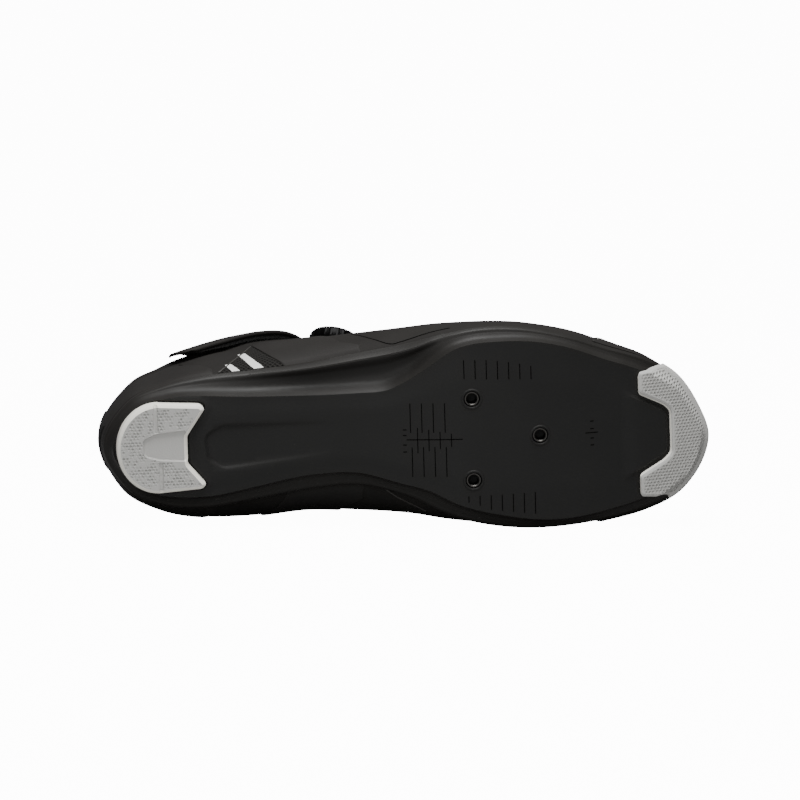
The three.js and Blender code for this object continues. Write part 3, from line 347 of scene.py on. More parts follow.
class Last:
    """The form that the upper and the sole follow, as functions of named sizes."""

    def __init__(self, sizes: LastSizes) -> None:
        """Prepares the smooth columns and the rim.

        Args:
            sizes: Named sizes of the last.
        """
        self.sizes = sizes
        self.inset = {MEDIAL: smooth_column(PLATE, "medial"), LATERAL: smooth_column(PLATE, "lateral")}
        self.swell = {MEDIAL: smooth_column(FULLNESS, "medial"), LATERAL: smooth_column(FULLNESS, "lateral")}
        self.edge = {MEDIAL: smooth_column(OPENING, "medial"), LATERAL: smooth_column(OPENING, "lateral")}
        self.rise = smooth_column(FULLNESS, "rise")
        self.shoulder = smooth_column(FULLNESS, "shoulder")
        self.spine = smooth_column(SPINE, "side")
        self.ridge = smooth_column(SPINE, "ridge")
        self.plate = smooth_column(HEIGHT, "plate")
        self.top = smooth_column(HEIGHT, "top")
        self.wall_share = smooth_column(WALL_PROFILE, "share")
        self.wall_scoop = smooth_column(WALL_PROFILE, "scoop")
        self.rim_line = self.rim_outline()
        self.reach_at = np.linspace(0, 1, 1201)
        self.reach = {side: self.reach_table(side) for side in (MEDIAL, LATERAL)}

    def rim_outline(self) -> Array:
        """Closed outline of the rim, as a fine polyline."""
        s = self.sizes
        at = np.array(RIM["at"]) * s.length
        lateral = np.stack([at, -np.array(RIM["lateral"]) * s.ball_width], axis=1)
        medial = np.stack([at, np.array(RIM["medial"]) * s.ball_width], axis=1)[::-1]
        heel = [[0.0, s.heel_tip * s.ball_width]]
        toe = [[s.length, s.toe_tip * s.ball_width]]
        points = np.concatenate([heel, lateral, toe, medial])
        return catmull_rom(points, np.linspace(0, 1, len(points) * 40 + 1), closed=True)

    def fan(self, p: Array, side: Array) -> tuple[Array, Array, Array, Array]:
        """Spine point and level direction of each ray, which fan out round the heel and the toe."""
        s = self.sizes
        at = np.clip(p, s.heel_pivot, s.toe_pivot)
        heel = np.clip(p / s.heel_pivot, 0, 1) * math.pi / 2
        toe = np.clip((p - s.toe_pivot) / (1 - s.toe_pivot), 0, 1) * math.pi / 2
        dx = np.sin(toe) - np.cos(heel) * (p < s.heel_pivot)
        dy = side * np.cos(toe) * np.sin(heel)
        return at * s.length, self.spine(at) * s.ball_width, dx, dy

    def reach_table(self, side: int) -> Array:
        """Distance from the spine to the rim at each station of one side."""
        x, y, dx, dy = self.fan(self.reach_at, np.full_like(self.reach_at, side))
        a = self.rim_line[:-1]
        e = np.diff(self.rim_line, axis=0)
        cross = dx[:, None] * e[None, :, 1] - dy[:, None] * e[None, :, 0]
        cross = np.where(np.abs(cross) < 1e-12, 1e-12, cross)
        ax, ay = a[None, :, 0] - x[:, None], a[None, :, 1] - y[:, None]
        along = (ax * e[None, :, 1] - ay * e[None, :, 0]) / cross
        share = (ax * dy[:, None] - ay * dx[:, None]) / cross
        hit = (share >= -1e-9) & (share <= 1 + 1e-9)
        return np.where(hit, along, 0).max(axis=1)

    def rays(self, p: Array, side: Array) -> tuple[Array, Array, Array, Array, Array]:
        """Spine point, level direction and reach to the rim of each ray."""
        p, side = np.broadcast_arrays(np.asarray(p, float), side)
        x, y, dx, dy = self.fan(p, side)
        rim = self.by_side(side, lambda one: np.interp(p, self.reach_at, self.reach[one]))
        return x, y, dx, dy, rim

    @staticmethod
    def by_side(side: Array, column: Callable[[int], Array]) -> Array:
        """Values of a column that differs from side to side."""
        return np.where(np.asarray(side) > 0, column(MEDIAL), column(LATERAL))

    def plate_z(self, x: Array) -> Array:
        """Height of the plate's underside at a station in millimetres."""
        return self.sizes.toe_lift * self.plate(np.asarray(x) / self.sizes.length)

    def top_z(self, x: Array) -> Array:
        """Height of the sole's top at a station in millimetres."""
        return self.sizes.toe_lift * self.top(np.asarray(x) / self.sizes.length)

    def wall_height(self, p: Array, side: Array, out: Array) -> Array:
        """Share of the sole's thickness at a way out from the plate's edge to the rim."""
        inset = self.by_side(side, lambda one: self.inset[one](p))
        return self.wall_share(out) + smoothstep(inset, *SCOOP_INSETS) * self.wall_scoop(out)

    def find(self, x: Array, y: Array) -> tuple[Array, Array, Array]:
        """Station, side and distance from the spine of places seen from below."""
        s = self.sizes
        share = np.asarray(x) / s.length
        at = np.clip(share, s.heel_pivot, s.toe_pivot)
        across = np.asarray(y) - self.spine(at) * s.ball_width
        side = np.where(across >= 0, MEDIAL, LATERAL)
        along = (share - at) * s.length
        turn = np.arctan2(np.abs(along), np.abs(across)) / (math.pi / 2)
        heel = s.heel_pivot * (1 - turn)
        toe = s.toe_pivot + (1 - s.toe_pivot) * turn
        p = np.where(share < s.heel_pivot, heel, np.where(share > s.toe_pivot, toe, at))
        return p, side, np.hypot(along, across)

    def underside(self, x: Array, y: Array, grow: float = 0.0, wrap: float = 0.0) -> Array:
        """Height of the sole's underside and side wall at places seen from below.

        Args:
            x: Stations in millimetres.
            y: Sideways places in millimetres.
            grow: How far below the plate the surface lies.
            wrap: How far outside the wall it lies.

        Returns:
            Heights of the same shape.
        """
        p, side, distance = self.find(x, y)
        rim = self.rays(p, side)[4]
        inset = self.sizes.edge_roll * self.by_side(side, lambda one: self.inset[one](p))
        edge = rim - inset
        inner = distance / (1 + wrap / edge)
        out = np.clip((distance - wrap - edge) / inset, 0, 1)
        flat = 0.05 * smoothstep(inner / edge, 0.55, 1.0)
        share = np.where(inner < edge, flat, self.wall_height(p, side, out))
        low, high = self.plate_z(x) - grow, self.top_z(x)
        return low + (high - low) * share

    def point(self, p: Array, side: Array, t: Array) -> Array:
        """Point on the outside of the last: p from heel to toe, t from the sole up to the ridge."""
        s = self.sizes
        p, side, t = np.broadcast_arrays(np.asarray(p, float), side, t)
        x, y, dx, dy, rim = self.rays(p, side)
        foot = rim - s.feather_inset
        foot_z = self.top_z(x + dx * foot) + s.gap
        at = np.clip(p, s.heel_pivot, s.toe_pivot)
        ridge = s.instep_height * self.ridge(at)
        step = 0.01
        slope = s.instep_height * (self.ridge(at + step) - self.ridge(at - step)) / (2 * step * s.length)
        level = self.shoulder(p) * foot
        sideways = s.bulge * self.by_side(side, lambda one: self.swell[one](p))
        reach = foot * (1 - t) ** 3 + 3 * (foot + sideways) * (1 - t) ** 2 * t + 3 * level * (1 - t) * t**2
        low = foot_z + self.rise(p) * (ridge - foot_z)
        high = ridge + level * dx * slope
        z = foot_z * (1 - t) ** 3 + 3 * low * (1 - t) ** 2 * t + 3 * high * (1 - t) * t**2 + ridge * t**3
        return np.stack([x + dx * reach, y + dy * reach, z], axis=-1)

    def normal(self, p: Array, side: Array, t: Array) -> Array:
        """Way out of the last at a point."""
        p, side, t = np.broadcast_arrays(np.asarray(p, float), side, np.asarray(t, float))
        h = 2e-3
        along = self.point(np.clip(p + h, 0, 1), side, t) - self.point(np.clip(p - h, 0, 1), side, t)
        rise = self.point(p, side, np.clip(t + h, 0, 0.999)) - self.point(p, side, np.clip(t - h, 0, 0.997))
        return unit(np.cross(along, rise) * -side[..., None])

    def skin(self, p: Array, side: Array, t: Array, lift: Array = 0.0) -> Array:
        """Point at a distance outside the last."""
        return self.point(p, side, t) + self.normal(p, side, t) * np.asarray(lift)[..., None]

    def across(self, p: Array, g: Array, lift: float = 0.0) -> Array:
        """Point on the last across both sides: g is -1 at the lateral sole, 0 at the ridge, 1 medial."""
        g = np.asarray(g, float)
        return self.skin(p, np.where(g < 0, LATERAL, MEDIAL), 1 - np.abs(g), lift)

    def climb(self, p: Array, side: Array, z: Array) -> Array:
        """Share of the way up at which the last reaches a height."""
        low = np.zeros(np.broadcast(p, side, z).shape)
        high = np.ones_like(low)
        for _ in range(26):
            middle = (low + high) / 2
            below = self.point(p, side, middle)[..., 2] < z
            low, high = np.where(below, middle, low), np.where(below, high, middle)
        return (low + high) / 2

    def seam_z(self, x: Array) -> Array:
        """Height of the seam along the sole."""
        return self.top_z(x) + self.sizes.seam_lift

    def seat(self, p: float, g: float, lift: float) -> tuple[Array, Array, Array, Array]:
        """Frame on the last: the point, the way to the toe, the way across and the way out."""
        step = 0.01
        ahead = unit(self.across(p + step, g) - self.across(p - step, g))
        across = unit(self.across(p, g + step) - self.across(p, g - step))
        out = unit(np.cross(ahead, across))
        return self.across(p, g) + out * lift, ahead, np.cross(out, ahead), out


LAST = Last(LastSizes())
SIZES = LAST.sizes


@dataclass(frozen=True)
class PlateSizes:
    """Sizes of the plate's fittings and pads, in millimetres."""

    bolt_spread: float = 36.5
    bolt_ahead: float = 30.0
    rear_bolt_x: float = 162.0
    nut_radius: float = 3.3
    nut_bore: float = 2.3
    nut_length: float = 5.5
    nut_sunk: float = 0.8
    pad_seat: float = 1.5
    pad_groove: float = 0.8
    pad_back: float = 5.4
    pad_length: float = 39.0
    pad_width: float = 40.0
    pad_notch: float = 8.0
    pad_tip: float = 2.0
    toe_pad_length: float = 31.0
    toe_pad_proud: float = 2.2
    toe_pad_wrap: float = 1.0
    toe_pad_width: float = 56.0
    toe_pad_flare: float = 1.5
    notch_depth: float = 14.5
    notch_width: float = 37.0
    notch_floor: float = 19.0
    notch_corner: float = 3.0


PLATE_SIZES = PlateSizes()
# Centres of the nuts as seen from below, in millimetres
BOLTS: dict[str, tuple[float, float]] = {
    "nut_front": (PLATE_SIZES.rear_bolt_x + PLATE_SIZES.bolt_ahead, 0.0),
    "nut_rear_lateral": (PLATE_SIZES.rear_bolt_x, -PLATE_SIZES.bolt_spread / 2),
    "nut_rear_medial": (PLATE_SIZES.rear_bolt_x, PLATE_SIZES.bolt_spread / 2),
}


class Laid:
    """Turns the shoe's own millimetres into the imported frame's metres, from the places of its nuts."""

    def __init__(self) -> None:
        """Solves the turn and the shift from the three nuts' centres."""
        half = PLATE_SIZES.nut_sunk + PLATE_SIZES.nut_length / 2
        own = np.array([[x, y, float(LAST.plate_z(x)) + half] for x, y in BOLTS.values()])
        boxes = [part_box(name) for name in BOLTS]
        row = np.array([[(low[k] + high[k]) * 500 for k in range(3)] for low, high in boxes])
        self.turn = self.basis(row) @ self.basis(own).T
        self.shift = row.mean(axis=0) - self.turn @ own.mean(axis=0)

    @staticmethod
    def basis(points: Array) -> Array:
        """Three square directions set by three points."""
        one = unit(points[1] - points[0])
        out = unit(np.cross(one, points[2] - points[0]))
        return np.stack([one, np.cross(out, one), out], axis=1)

    def place(self, points: Array) -> Array:
        """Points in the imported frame, in metres."""
        return (np.asarray(points, float).reshape(-1, 3) @ self.turn.T + self.shift) / 1000

    def way(self, direction: Sequence[float]) -> Vector:
        """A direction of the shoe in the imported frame."""
        return Vector(self.turn @ np.asarray(direction, float))


LAID = Laid()


class Mesher:
    """Gathers grids and faces in the shoe's millimetres and makes them one object."""

    def __init__(self, name: str) -> None:
        """Starts an empty mesh.

        Args:
            name: Name of the object to make.
        """
        self.name = name
        self.points: list[Array] = []
        self.faces: list[tuple[int, ...]] = []
        self.slots: list[int] = []
        self.marks: list[Array] = []
        self.count = 0

    def add(
        self, points: Array, faces: Iterable[Sequence[int]], slot: int = 0, mark: Optional[Array] = None,
    ) -> None:
        """Adds points and the faces between them.

        Args:
            points: Points in millimetres.
            faces: Numbers of each face's corners, from 0 within these points.
            slot: Material slot of the faces.
            mark: A value for each point, kept as the attribute named mark.
        """
        points = np.asarray(points, float).reshape(-1, 3)
        base = self.count
        self.points.append(points)
        self.marks.append(np.zeros(len(points)) if mark is None else np.asarray(mark, float).ravel())
        added = [tuple(int(i) + base for i in face) for face in faces]
        self.faces.extend(added)
        self.slots.extend([slot] * len(added))
        self.count += len(points)

    def grid(
        self, points: Array, slot: Callable[[int], int] | int = 0, closed: bool = False,
        mark: Optional[Array] = None,
    ) -> None:
        """Adds a grid of points, columns by rows.

        Args:
            points: Grid of points in millimetres.
            slot: Material slot, or a function of the row that gives it.
            closed: Whether the last column joins the first.
            mark: A value for each point.
        """
        columns, rows = points.shape[:2]
        index = np.arange(columns * rows).reshape(columns, rows)
        ahead = np.roll(index, -1, axis=0) if closed else index[1:]
        here = index if closed else index[:-1]
        pick = slot if callable(slot) else (lambda row: slot)
        base_slots = []
        quads = []
        for j in range(rows - 1):
            block = np.stack([here[:, j], ahead[:, j], ahead[:, j + 1], here[:, j + 1]], axis=1)
            quads.extend(map(tuple, block))
            base_slots.extend([pick(j)] * len(block))
        self.add(points, quads, 0, mark)
        self.slots[-len(base_slots):] = base_slots

    def shell(
        self, outer: Array, inner: Array, slot: int = 0, inner_slot: int = 0, closed: bool = False,
    ) -> None:
        """Adds a sheet with a thickness, its edges walled.

        Args:
            outer: Grid of the outer face.
            inner: Grid of the inner face, of the same shape.
            slot: Material slot of the outer face and the edges.
            inner_slot: Material slot of the inner face.
            closed: Whether the last column joins the first.
        """
        columns, rows = outer.shape[:2]
        ring = np.concatenate([outer, inner[:, ::-1], outer[:, :1]], axis=1)
        back = range(rows, 2 * rows - 1)
        self.grid(ring, lambda row: inner_slot if row in back else slot, closed)
        if closed:
            return
        for end in (0, columns - 1):
            wall = np.stack([outer[end], inner[end]])
            self.grid(wall, slot)

    def finish(self, materials: Sequence[bpy.types.Material], smooth: float = 40.0) -> bpy.types.Object:
        """Makes the object, with its doubles merged and its faces outward.

        Args:
            materials: Materials, in the order of the slots.
            smooth: Largest angle in degrees between faces that still shade as one.

        Returns:
            The new object, at the origin.
        """
        mesh = bpy.data.meshes.new(self.name)
        mesh.from_pydata(LAID.place(np.concatenate(self.points)).tolist(), [], self.faces)
        mesh.polygons.foreach_set("material_index", self.slots)
        layer = mesh.attributes.new("mark", "FLOAT", "POINT")
        layer.data.foreach_set("value", np.concatenate(self.marks))
        for material in materials:
            mesh.materials.append(material)
        work = bmesh.new()
        work.from_mesh(mesh)
        bmesh.ops.remove_doubles(work, verts=work.verts, dist=2e-6)
        bmesh.ops.dissolve_degenerate(work, edges=work.edges, dist=1e-7)
        bmesh.ops.recalc_face_normals(work, faces=work.faces)
        for edge in work.edges:
            edge.smooth = len(edge.link_faces) != 2 or edge.calc_face_angle(0) < math.radians(smooth)
        for face in work.faces:
            face.smooth = True
        work.to_mesh(mesh)
        work.free()
        piece = bpy.data.objects.new(self.name, mesh)
        bpy.context.scene.collection.objects.link(piece)
        return piece


def around(heel: int, middle: int, toe: int) -> tuple[Array, Array]:
    """Stations and sides round the whole shoe, out along the lateral side and back along the medial one."""
    s = SIZES
    shares = np.concatenate([
        np.linspace(0, s.heel_pivot, heel, endpoint=False),
        np.linspace(s.heel_pivot, s.toe_pivot, middle, endpoint=False),
        np.linspace(s.toe_pivot, 1, toe),
    ])
    p = np.concatenate([shares, shares[-2:0:-1]])
    side = np.concatenate([np.full(len(shares), LATERAL), np.full(len(shares) - 2, MEDIAL)])
    return p, side


def settle(piece: bpy.types.Object, slot: str, *nodes: str) -> bpy.types.Object:
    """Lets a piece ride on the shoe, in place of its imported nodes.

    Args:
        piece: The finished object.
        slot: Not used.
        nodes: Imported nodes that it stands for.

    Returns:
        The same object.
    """
    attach(piece, "root")
    if nodes:
        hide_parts(*nodes)
    log.info("%s: %d faces", piece.name, len(piece.data.polygons))
    return piece


class Shader:
    """Adds and links nodes in one tree, with numbers, colours or sockets as inputs."""

    def __init__(self, tree: bpy.types.NodeTree) -> None:
        """Keeps the tree.

        Args:
            tree: Node tree to build in.
        """
        self.tree = tree

    def add(self, kind: str, inputs: Optional[dict] = None, **settings: object) -> bpy.types.Node:
        """Adds a node.

        Args:
            kind: Blender's name for the node.
            inputs: Values or sockets by input name or number.
            settings: Properties of the node.

        Returns:
            The node.
        """
        node = self.tree.nodes.new(kind)
        for name, value in settings.items():
            setattr(node, name, value)
        for name, value in (inputs or {}).items():
            if isinstance(value, bpy.types.NodeSocket):
                self.tree.links.new(value, node.inputs[name])
            else:
                node.inputs[name].default_value = value
        return node

    def math(self, operation: str, *values: object, clamp: bool = False) -> bpy.types.NodeSocket:
        """Result of a Math node."""
        inputs = {i: value for i, value in enumerate(values)}
        return self.add("ShaderNodeMath", inputs, operation=operation, use_clamp=clamp).outputs[0]

    def vector(self, operation: str, *values: object) -> bpy.types.NodeSocket:
        """Result of a Vector Math node."""
        inputs = {i: value for i, value in enumerate(values)}
        node = self.add("ShaderNodeVectorMath", inputs, operation=operation)
        return node.outputs["Value" if operation in ("LENGTH", "DOT_PRODUCT", "DISTANCE") else "Vector"]

    def ramp(
        self, value: object, low: float, high: float, start: float = 0.0, end: float = 1.0,
    ) -> bpy.types.NodeSocket:
        """Value mapped from one range to another, and kept in it."""
        inputs = {0: value, 1: low, 2: high, 3: start, 4: end}
        return self.add("ShaderNodeMapRange", inputs).outputs[0]

    def blend(self, factor: object, first: object, second: object) -> bpy.types.NodeSocket:
        """Mix of two colours."""
        node = self.add("ShaderNodeMix", {"Factor": factor}, data_type="RGBA")
        for name, value in (("A", first), ("B", second)):
            socket = next(s for s in node.inputs if s.name == name and s.type == "RGBA")
            if isinstance(value, bpy.types.NodeSocket):
                self.tree.links.new(value, socket)
            else:
                socket.default_value = value
        return next(s for s in node.outputs if s.type == "RGBA")

    def noise(self, place: object, scale: object, detail: float = 3.0) -> bpy.types.NodeSocket:
        """Noise from 0 to 1 about a place."""
        return self.add("ShaderNodeTexNoise", {"Vector": place, "Scale": scale, "Detail": detail}).outputs[0]


def start_group(name: str, inputs: dict[str, tuple[str, object]], outputs: dict[str, str]) -> tuple:
    """Starts a shader node group with named inputs and outputs.

    Args:
        name: Name of the group.
        inputs: Socket kind and first value by name.
        outputs: Socket kind by name.

    Returns:
        The group, its Shader, its input node and its output node.
    """
    group = bpy.data.node_groups.new(name, "ShaderNodeTree")
    for key, (kind, value) in inputs.items():
        socket = group.interface.new_socket(key, in_out="INPUT", socket_type=kind)
        socket.default_value = value
    for key, kind in outputs.items():
        group.interface.new_socket(key, in_out="OUTPUT", socket_type=kind)
    shader = Shader(group)
    return group, shader, shader.add("NodeGroupInput"), shader.add("NodeGroupOutput")


class Effects:
    """Shader node groups that several finishes share."""

    def __init__(self) -> None:
        """Builds the groups."""
        self.grain = self.grain_group()
        self.wear = self.wear_group()
        self.dimples = self.dimple_group()
        self.knit = self.knit_group()

    @staticmethod
    def grain_group() -> bpy.types.NodeTree:
        """Fine pebbled grain as a height."""
        group, shader, source, target = start_group(
            "FineGrain",
            {"Scale": ("NodeSocketFloat", 900.0), "Depth": ("NodeSocketFloat", 1.0)},
            {"Height": "NodeSocketFloat"},
        )
        place = shader.add("ShaderNodeTexCoord").outputs["Object"]
        scale = source.outputs["Scale"]
        cells = shader.add("ShaderNodeTexVoronoi", {"Vector": place, "Scale": scale}).outputs[0]
        soft = shader.math("MULTIPLY", shader.noise(place, scale), 0.4)
        height = shader.math("MULTIPLY_ADD", cells, 0.6, soft)
        group.links.new(shader.math("MULTIPLY", height, source.outputs["Depth"]), target.inputs["Height"])
        return group

    @staticmethod
    def wear_group() -> bpy.types.NodeTree:
        """Dust, handling marks and tone changes over a colour and its roughness."""
        group, shader, source, target = start_group(
            "HandlingWear",
            {
                "Color": ("NodeSocketColor", (0.1, 0.1, 0.1, 1.0)),
                "Dust": ("NodeSocketColor", (0.2, 0.2, 0.19, 1.0)),
                "Roughness": ("NodeSocketFloat", 0.5),
                "Amount": ("NodeSocketFloat", 0.1),
            },
            {"Color": "NodeSocketColor", "Roughness": "NodeSocketFloat"},
        )
        place = shader.add("ShaderNodeTexCoord").outputs["Object"]
        cloud = shader.ramp(shader.noise(place, 38.0, 4.0), 0.35, 0.75)
        speck = shader.ramp(shader.noise(place, 620.0, 2.0), 0.62, 0.8)
        both = shader.math("ADD", shader.math("MULTIPLY", cloud, 0.7), shader.math("MULTIPLY", speck, 0.5))
        mask = shader.math("MULTIPLY", both, source.outputs["Amount"], clamp=True)
        color = shader.blend(mask, source.outputs["Color"], source.outputs["Dust"])
        group.links.new(color, target.inputs["Color"])
        change = shader.math("MULTIPLY", shader.math("SUBTRACT", cloud, 0.5), 0.12)
        rough = shader.math("ADD", source.outputs["Roughness"], change, clamp=True)
        group.links.new(rough, target.inputs["Roughness"])
        return group

    @staticmethod
    def dimple_group() -> bpy.types.NodeTree:
        """Staggered round dimples on the sole's pads, where the piece's mark is one."""
        group, shader, source, target = start_group(
            "PadDimples",
            {"Pitch": ("NodeSocketFloat", 0.0017), "Depth": ("NodeSocketFloat", 1.0)},
            {"Height": "NodeSocketFloat"},
        )
        place = shader.add("ShaderNodeTexCoord").outputs["Object"]
        parts = []
        for direction, stretch in ((LAID.way((1, 0, 0)), 1.0), (LAID.way((0, 1, 0)), math.sqrt(3))):
            run = shader.vector("DOT_PRODUCT", place, direction)
            run = shader.math("DIVIDE", run, source.outputs["Pitch"])
            parts.append((shader.math("DIVIDE", run, stretch), stretch))
        rows = []
        for shift in (0.0, 0.5):
            squares = []
            for value, stretch in parts:
                cell = shader.math("FRACT", shader.math("ADD", value, shift + 40))
                cell = shader.math("SUBTRACT", cell, 0.5)
                squares.append(shader.math("POWER", shader.math("MULTIPLY", cell, stretch), 2.0))
            rows.append(shader.math("SQRT", shader.math("ADD", *squares)))
        near = shader.math("MINIMUM", *rows)
        bowl = shader.ramp(near, 0.12, 0.42, 1.0, 0.0)
        mark = shader.add("ShaderNodeAttribute", attribute_name="mark").outputs["Fac"]
        sunk = shader.math("MULTIPLY", shader.math("MULTIPLY", bowl, mark), source.outputs["Depth"])
        group.links.new(shader.math("MULTIPLY", sunk, -1.0), target.inputs["Height"])
        return group

    @staticmethod
    def knit_group() -> bpy.types.NodeTree:
        """Crossing yarns as a height, with open holes between them."""
        group, shader, source, target = start_group(
            "KnitYarn",
            {"Pitch": ("NodeSocketFloat", 0.001), "Depth": ("NodeSocketFloat", 1.0)},
            {"Height": "NodeSocketFloat", "Holes": "NodeSocketFloat"},
        )
        place = shader.add("ShaderNodeTexCoord").outputs["Object"]
        waves = []
        for direction in (LAID.way((0.7, 0, 0.7)), LAID.way((0.7, 0, -0.7))):
            run = shader.vector("DOT_PRODUCT", place, direction)
            run = shader.math("DIVIDE", run, source.outputs["Pitch"])
            waves.append(shader.math("SINE", shader.math("MULTIPLY", run, math.tau)))
        yarn = shader.math("MAXIMUM", *waves)
        group.links.new(shader.math("MULTIPLY", yarn, source.outputs["Depth"]), target.inputs["Height"])
        group.links.new(shader.ramp(yarn, -0.3, 0.35, 1.0, 0.0), target.inputs["Holes"])
        return group


EFFECTS = Effects()


class Relief(Enum):
    """Kinds of surface relief that a finish can carry."""

    GRAIN = "grain"
    DIMPLES = "dimples"
    KNIT = "knit"


@dataclass(frozen=True)
class Finish:
    """One finish of the shoe, as a procedural material."""

    name: str
    color: tuple[float, float, float]
    roughness: float
    dust: tuple[float, float, float] = (0.12, 0.115, 0.105)
    wear: float = 0.12
    metallic: float = 0.0
    specular: float = 0.5
    sheen: float = 0.0
    relief: Relief = Relief.GRAIN
    scale: float = 1400.0
    pitch: float = 0.0017
    depth: float = 0.00004
    strength: float = 0.35

    def build(self) -> bpy.types.Material:
        """Builds the material.

        Returns:
            The new material.
        """
        material = bpy.data.materials.new(self.name)
        material.use_nodes = True
        tree = material.node_tree
        tree.nodes.clear()
        shader = Shader(tree)
        surface = shader.add("ShaderNodeBsdfPrincipled")
        surface.inputs["Metallic"].default_value = self.metallic
        surface.inputs["Specular IOR Level"].default_value = self.specular
        surface.inputs["Sheen Weight"].default_value = self.sheen
        wear = shader.add("ShaderNodeGroup", node_tree=EFFECTS.wear)
        wear.inputs["Color"].default_value = (*self.color, 1.0)
        wear.inputs["Dust"].default_value = (*self.dust, 1.0)
        wear.inputs["Roughness"].default_value = self.roughness
        wear.inputs["Amount"].default_value = self.wear
        color = wear.outputs["Color"]
        grain = shader.add("ShaderNodeGroup", node_tree=EFFECTS.grain)
        grain.inputs["Scale"].default_value = self.scale
        height = grain.outputs["Height"]
        if self.relief is Relief.DIMPLES:
            dimples = shader.add("ShaderNodeGroup", node_tree=EFFECTS.dimples)
            dimples.inputs["Pitch"].default_value = self.pitch
            dimples.inputs["Depth"].default_value = 4.0
            height = shader.math("MULTIPLY_ADD", height, 0.35, dimples.outputs["Height"])
            # Painted shade: the pad's colour is darkened inside each dimple, where shade would fall in the
            # hollow.
            shade = shader.math("MULTIPLY", dimples.outputs["Height"], -0.09, clamp=True)
            color = shader.blend(shade, color, (0.12, 0.115, 0.1, 1.0))
        if self.relief is Relief.KNIT:
            knit = shader.add("ShaderNodeGroup", node_tree=EFFECTS.knit)
            knit.inputs["Pitch"].default_value = self.pitch
            knit.inputs["Depth"].default_value = 1.6
            height = shader.math("MULTIPLY_ADD", height, 0.3, knit.outputs["Height"])
            # Painted shade: the colour is darkened to a quarter in the hollows between the yarns, where shade
            # would fall.
            painted_hole_shade = tuple(value * 0.25 for value in self.color)
            color = shader.blend(knit.outputs["Holes"], color, (*painted_hole_shade, 1.0))
        inputs = {"Height": height, "Strength": self.strength, "Distance": self.depth}
        bump = shader.add("ShaderNodeBump", inputs)
        tree.links.new(color, surface.inputs["Base Color"])
        tree.links.new(wear.outputs["Roughness"], surface.inputs["Roughness"])
        tree.links.new(bump.outputs["Normal"], surface.inputs["Normal"])
        target = shader.add("ShaderNodeOutputMaterial")
        tree.links.new(surface.outputs[0], target.inputs["Surface"])
        return material


class Finishes:
    """Every finish of the shoe, built once."""

    def __init__(self) -> None:
        """Builds the materials."""
        self.plate = Finish(
            "plate_nylon", (0.0125, 0.0122, 0.0119), 0.55, specular=0.16, scale=1500, depth=5e-5, wear=0.02,
        ).build()
        self.wall = Finish(
            "rim_nylon", (0.0108, 0.01, 0.0092), 0.54, specular=0.2, scale=1500, depth=4e-5, wear=0.03,
        ).build()
        self.ink = Finish("tick_ink", (0.0008, 0.0008, 0.0008), 0.9, wear=0.0, specular=0.02).build()
        self.pad = Finish(
            "pad_rubber", (0.43, 0.427, 0.41), 0.75, dust=(0.36, 0.35, 0.33), wear=0.08, specular=0.25,
            relief=Relief.DIMPLES, pitch=0.0016, depth=0.00018, strength=0.8,
        ).build()
        # Painted highlight: the bevel, walls and back of both pads take a copy of the pad rubber almost twice
        # as light, standing in for the light that the bevel catches.
        self.pad_edge_painted_highlight = Finish(
            "pad_bevel_painted_highlight", (0.8, 0.78, 0.71), 0.6, dust=(0.55, 0.52, 0.46), wear=0.1, specular=0.3,
        ).build()
        self.metal = Finish(
            "nut_steel", (0.075, 0.072, 0.068), 0.38, metallic=1.0, wear=0.05, scale=2600,
        ).build()
        self.microfibre = Finish(
            "microfibre", (0.0112, 0.0103, 0.0096), 0.78, specular=0.14, scale=1100, depth=9e-5,
            strength=0.45, wear=0.06,
        ).build()
        self.film = Finish(
            "welded_film", (0.0122, 0.0112, 0.0105), 0.7, specular=0.16, scale=1900, depth=3e-5, wear=0.05,
        ).build()
        self.piping = Finish("film_edge", (0.03, 0.028, 0.026), 0.5, wear=0.04).build()
        self.knit = Finish(
            "coarse_knit", (0.012, 0.011, 0.01), 0.85, specular=0.2, relief=Relief.KNIT, pitch=0.0015,
            depth=4e-4, strength=0.9,
        ).build()
        self.lining = Finish(
            "lining_knit", (0.02, 0.02, 0.02), 0.9, relief=Relief.KNIT, pitch=0.0009, depth=1.5e-4,
            strength=0.6, sheen=0.3,
        ).build()
        self.tape = Finish(
            "woven_tape", (0.006, 0.006, 0.006), 0.8, specular=0.2, relief=Relief.KNIT, pitch=0.0006,
            depth=1e-4,
        ).build()
        self.stripe = Finish("pale_stripe", (0.64, 0.64, 0.62), 0.5, dust=(0.4, 0.4, 0.38), wear=0.1).build()
        self.gloss = Finish(
            "dial_gloss", (0.0012, 0.0012, 0.0012), 0.36, wear=0.0, specular=0.06, scale=300,
            strength=0.05,
        ).build()
        self.lace = Finish(
            "lace_cord", (0.4, 0.4, 0.39), 0.45, relief=Relief.KNIT, pitch=0.0005, depth=8e-5, wear=0.1,
        ).build()
        self.thread = Finish("pale_thread", (0.36, 0.35, 0.33), 0.7, scale=2500).build()
        self.dark_thread = Finish("dark_thread", (0.05, 0.048, 0.045), 0.7, scale=2500).build()


LOOKS = Finishes()


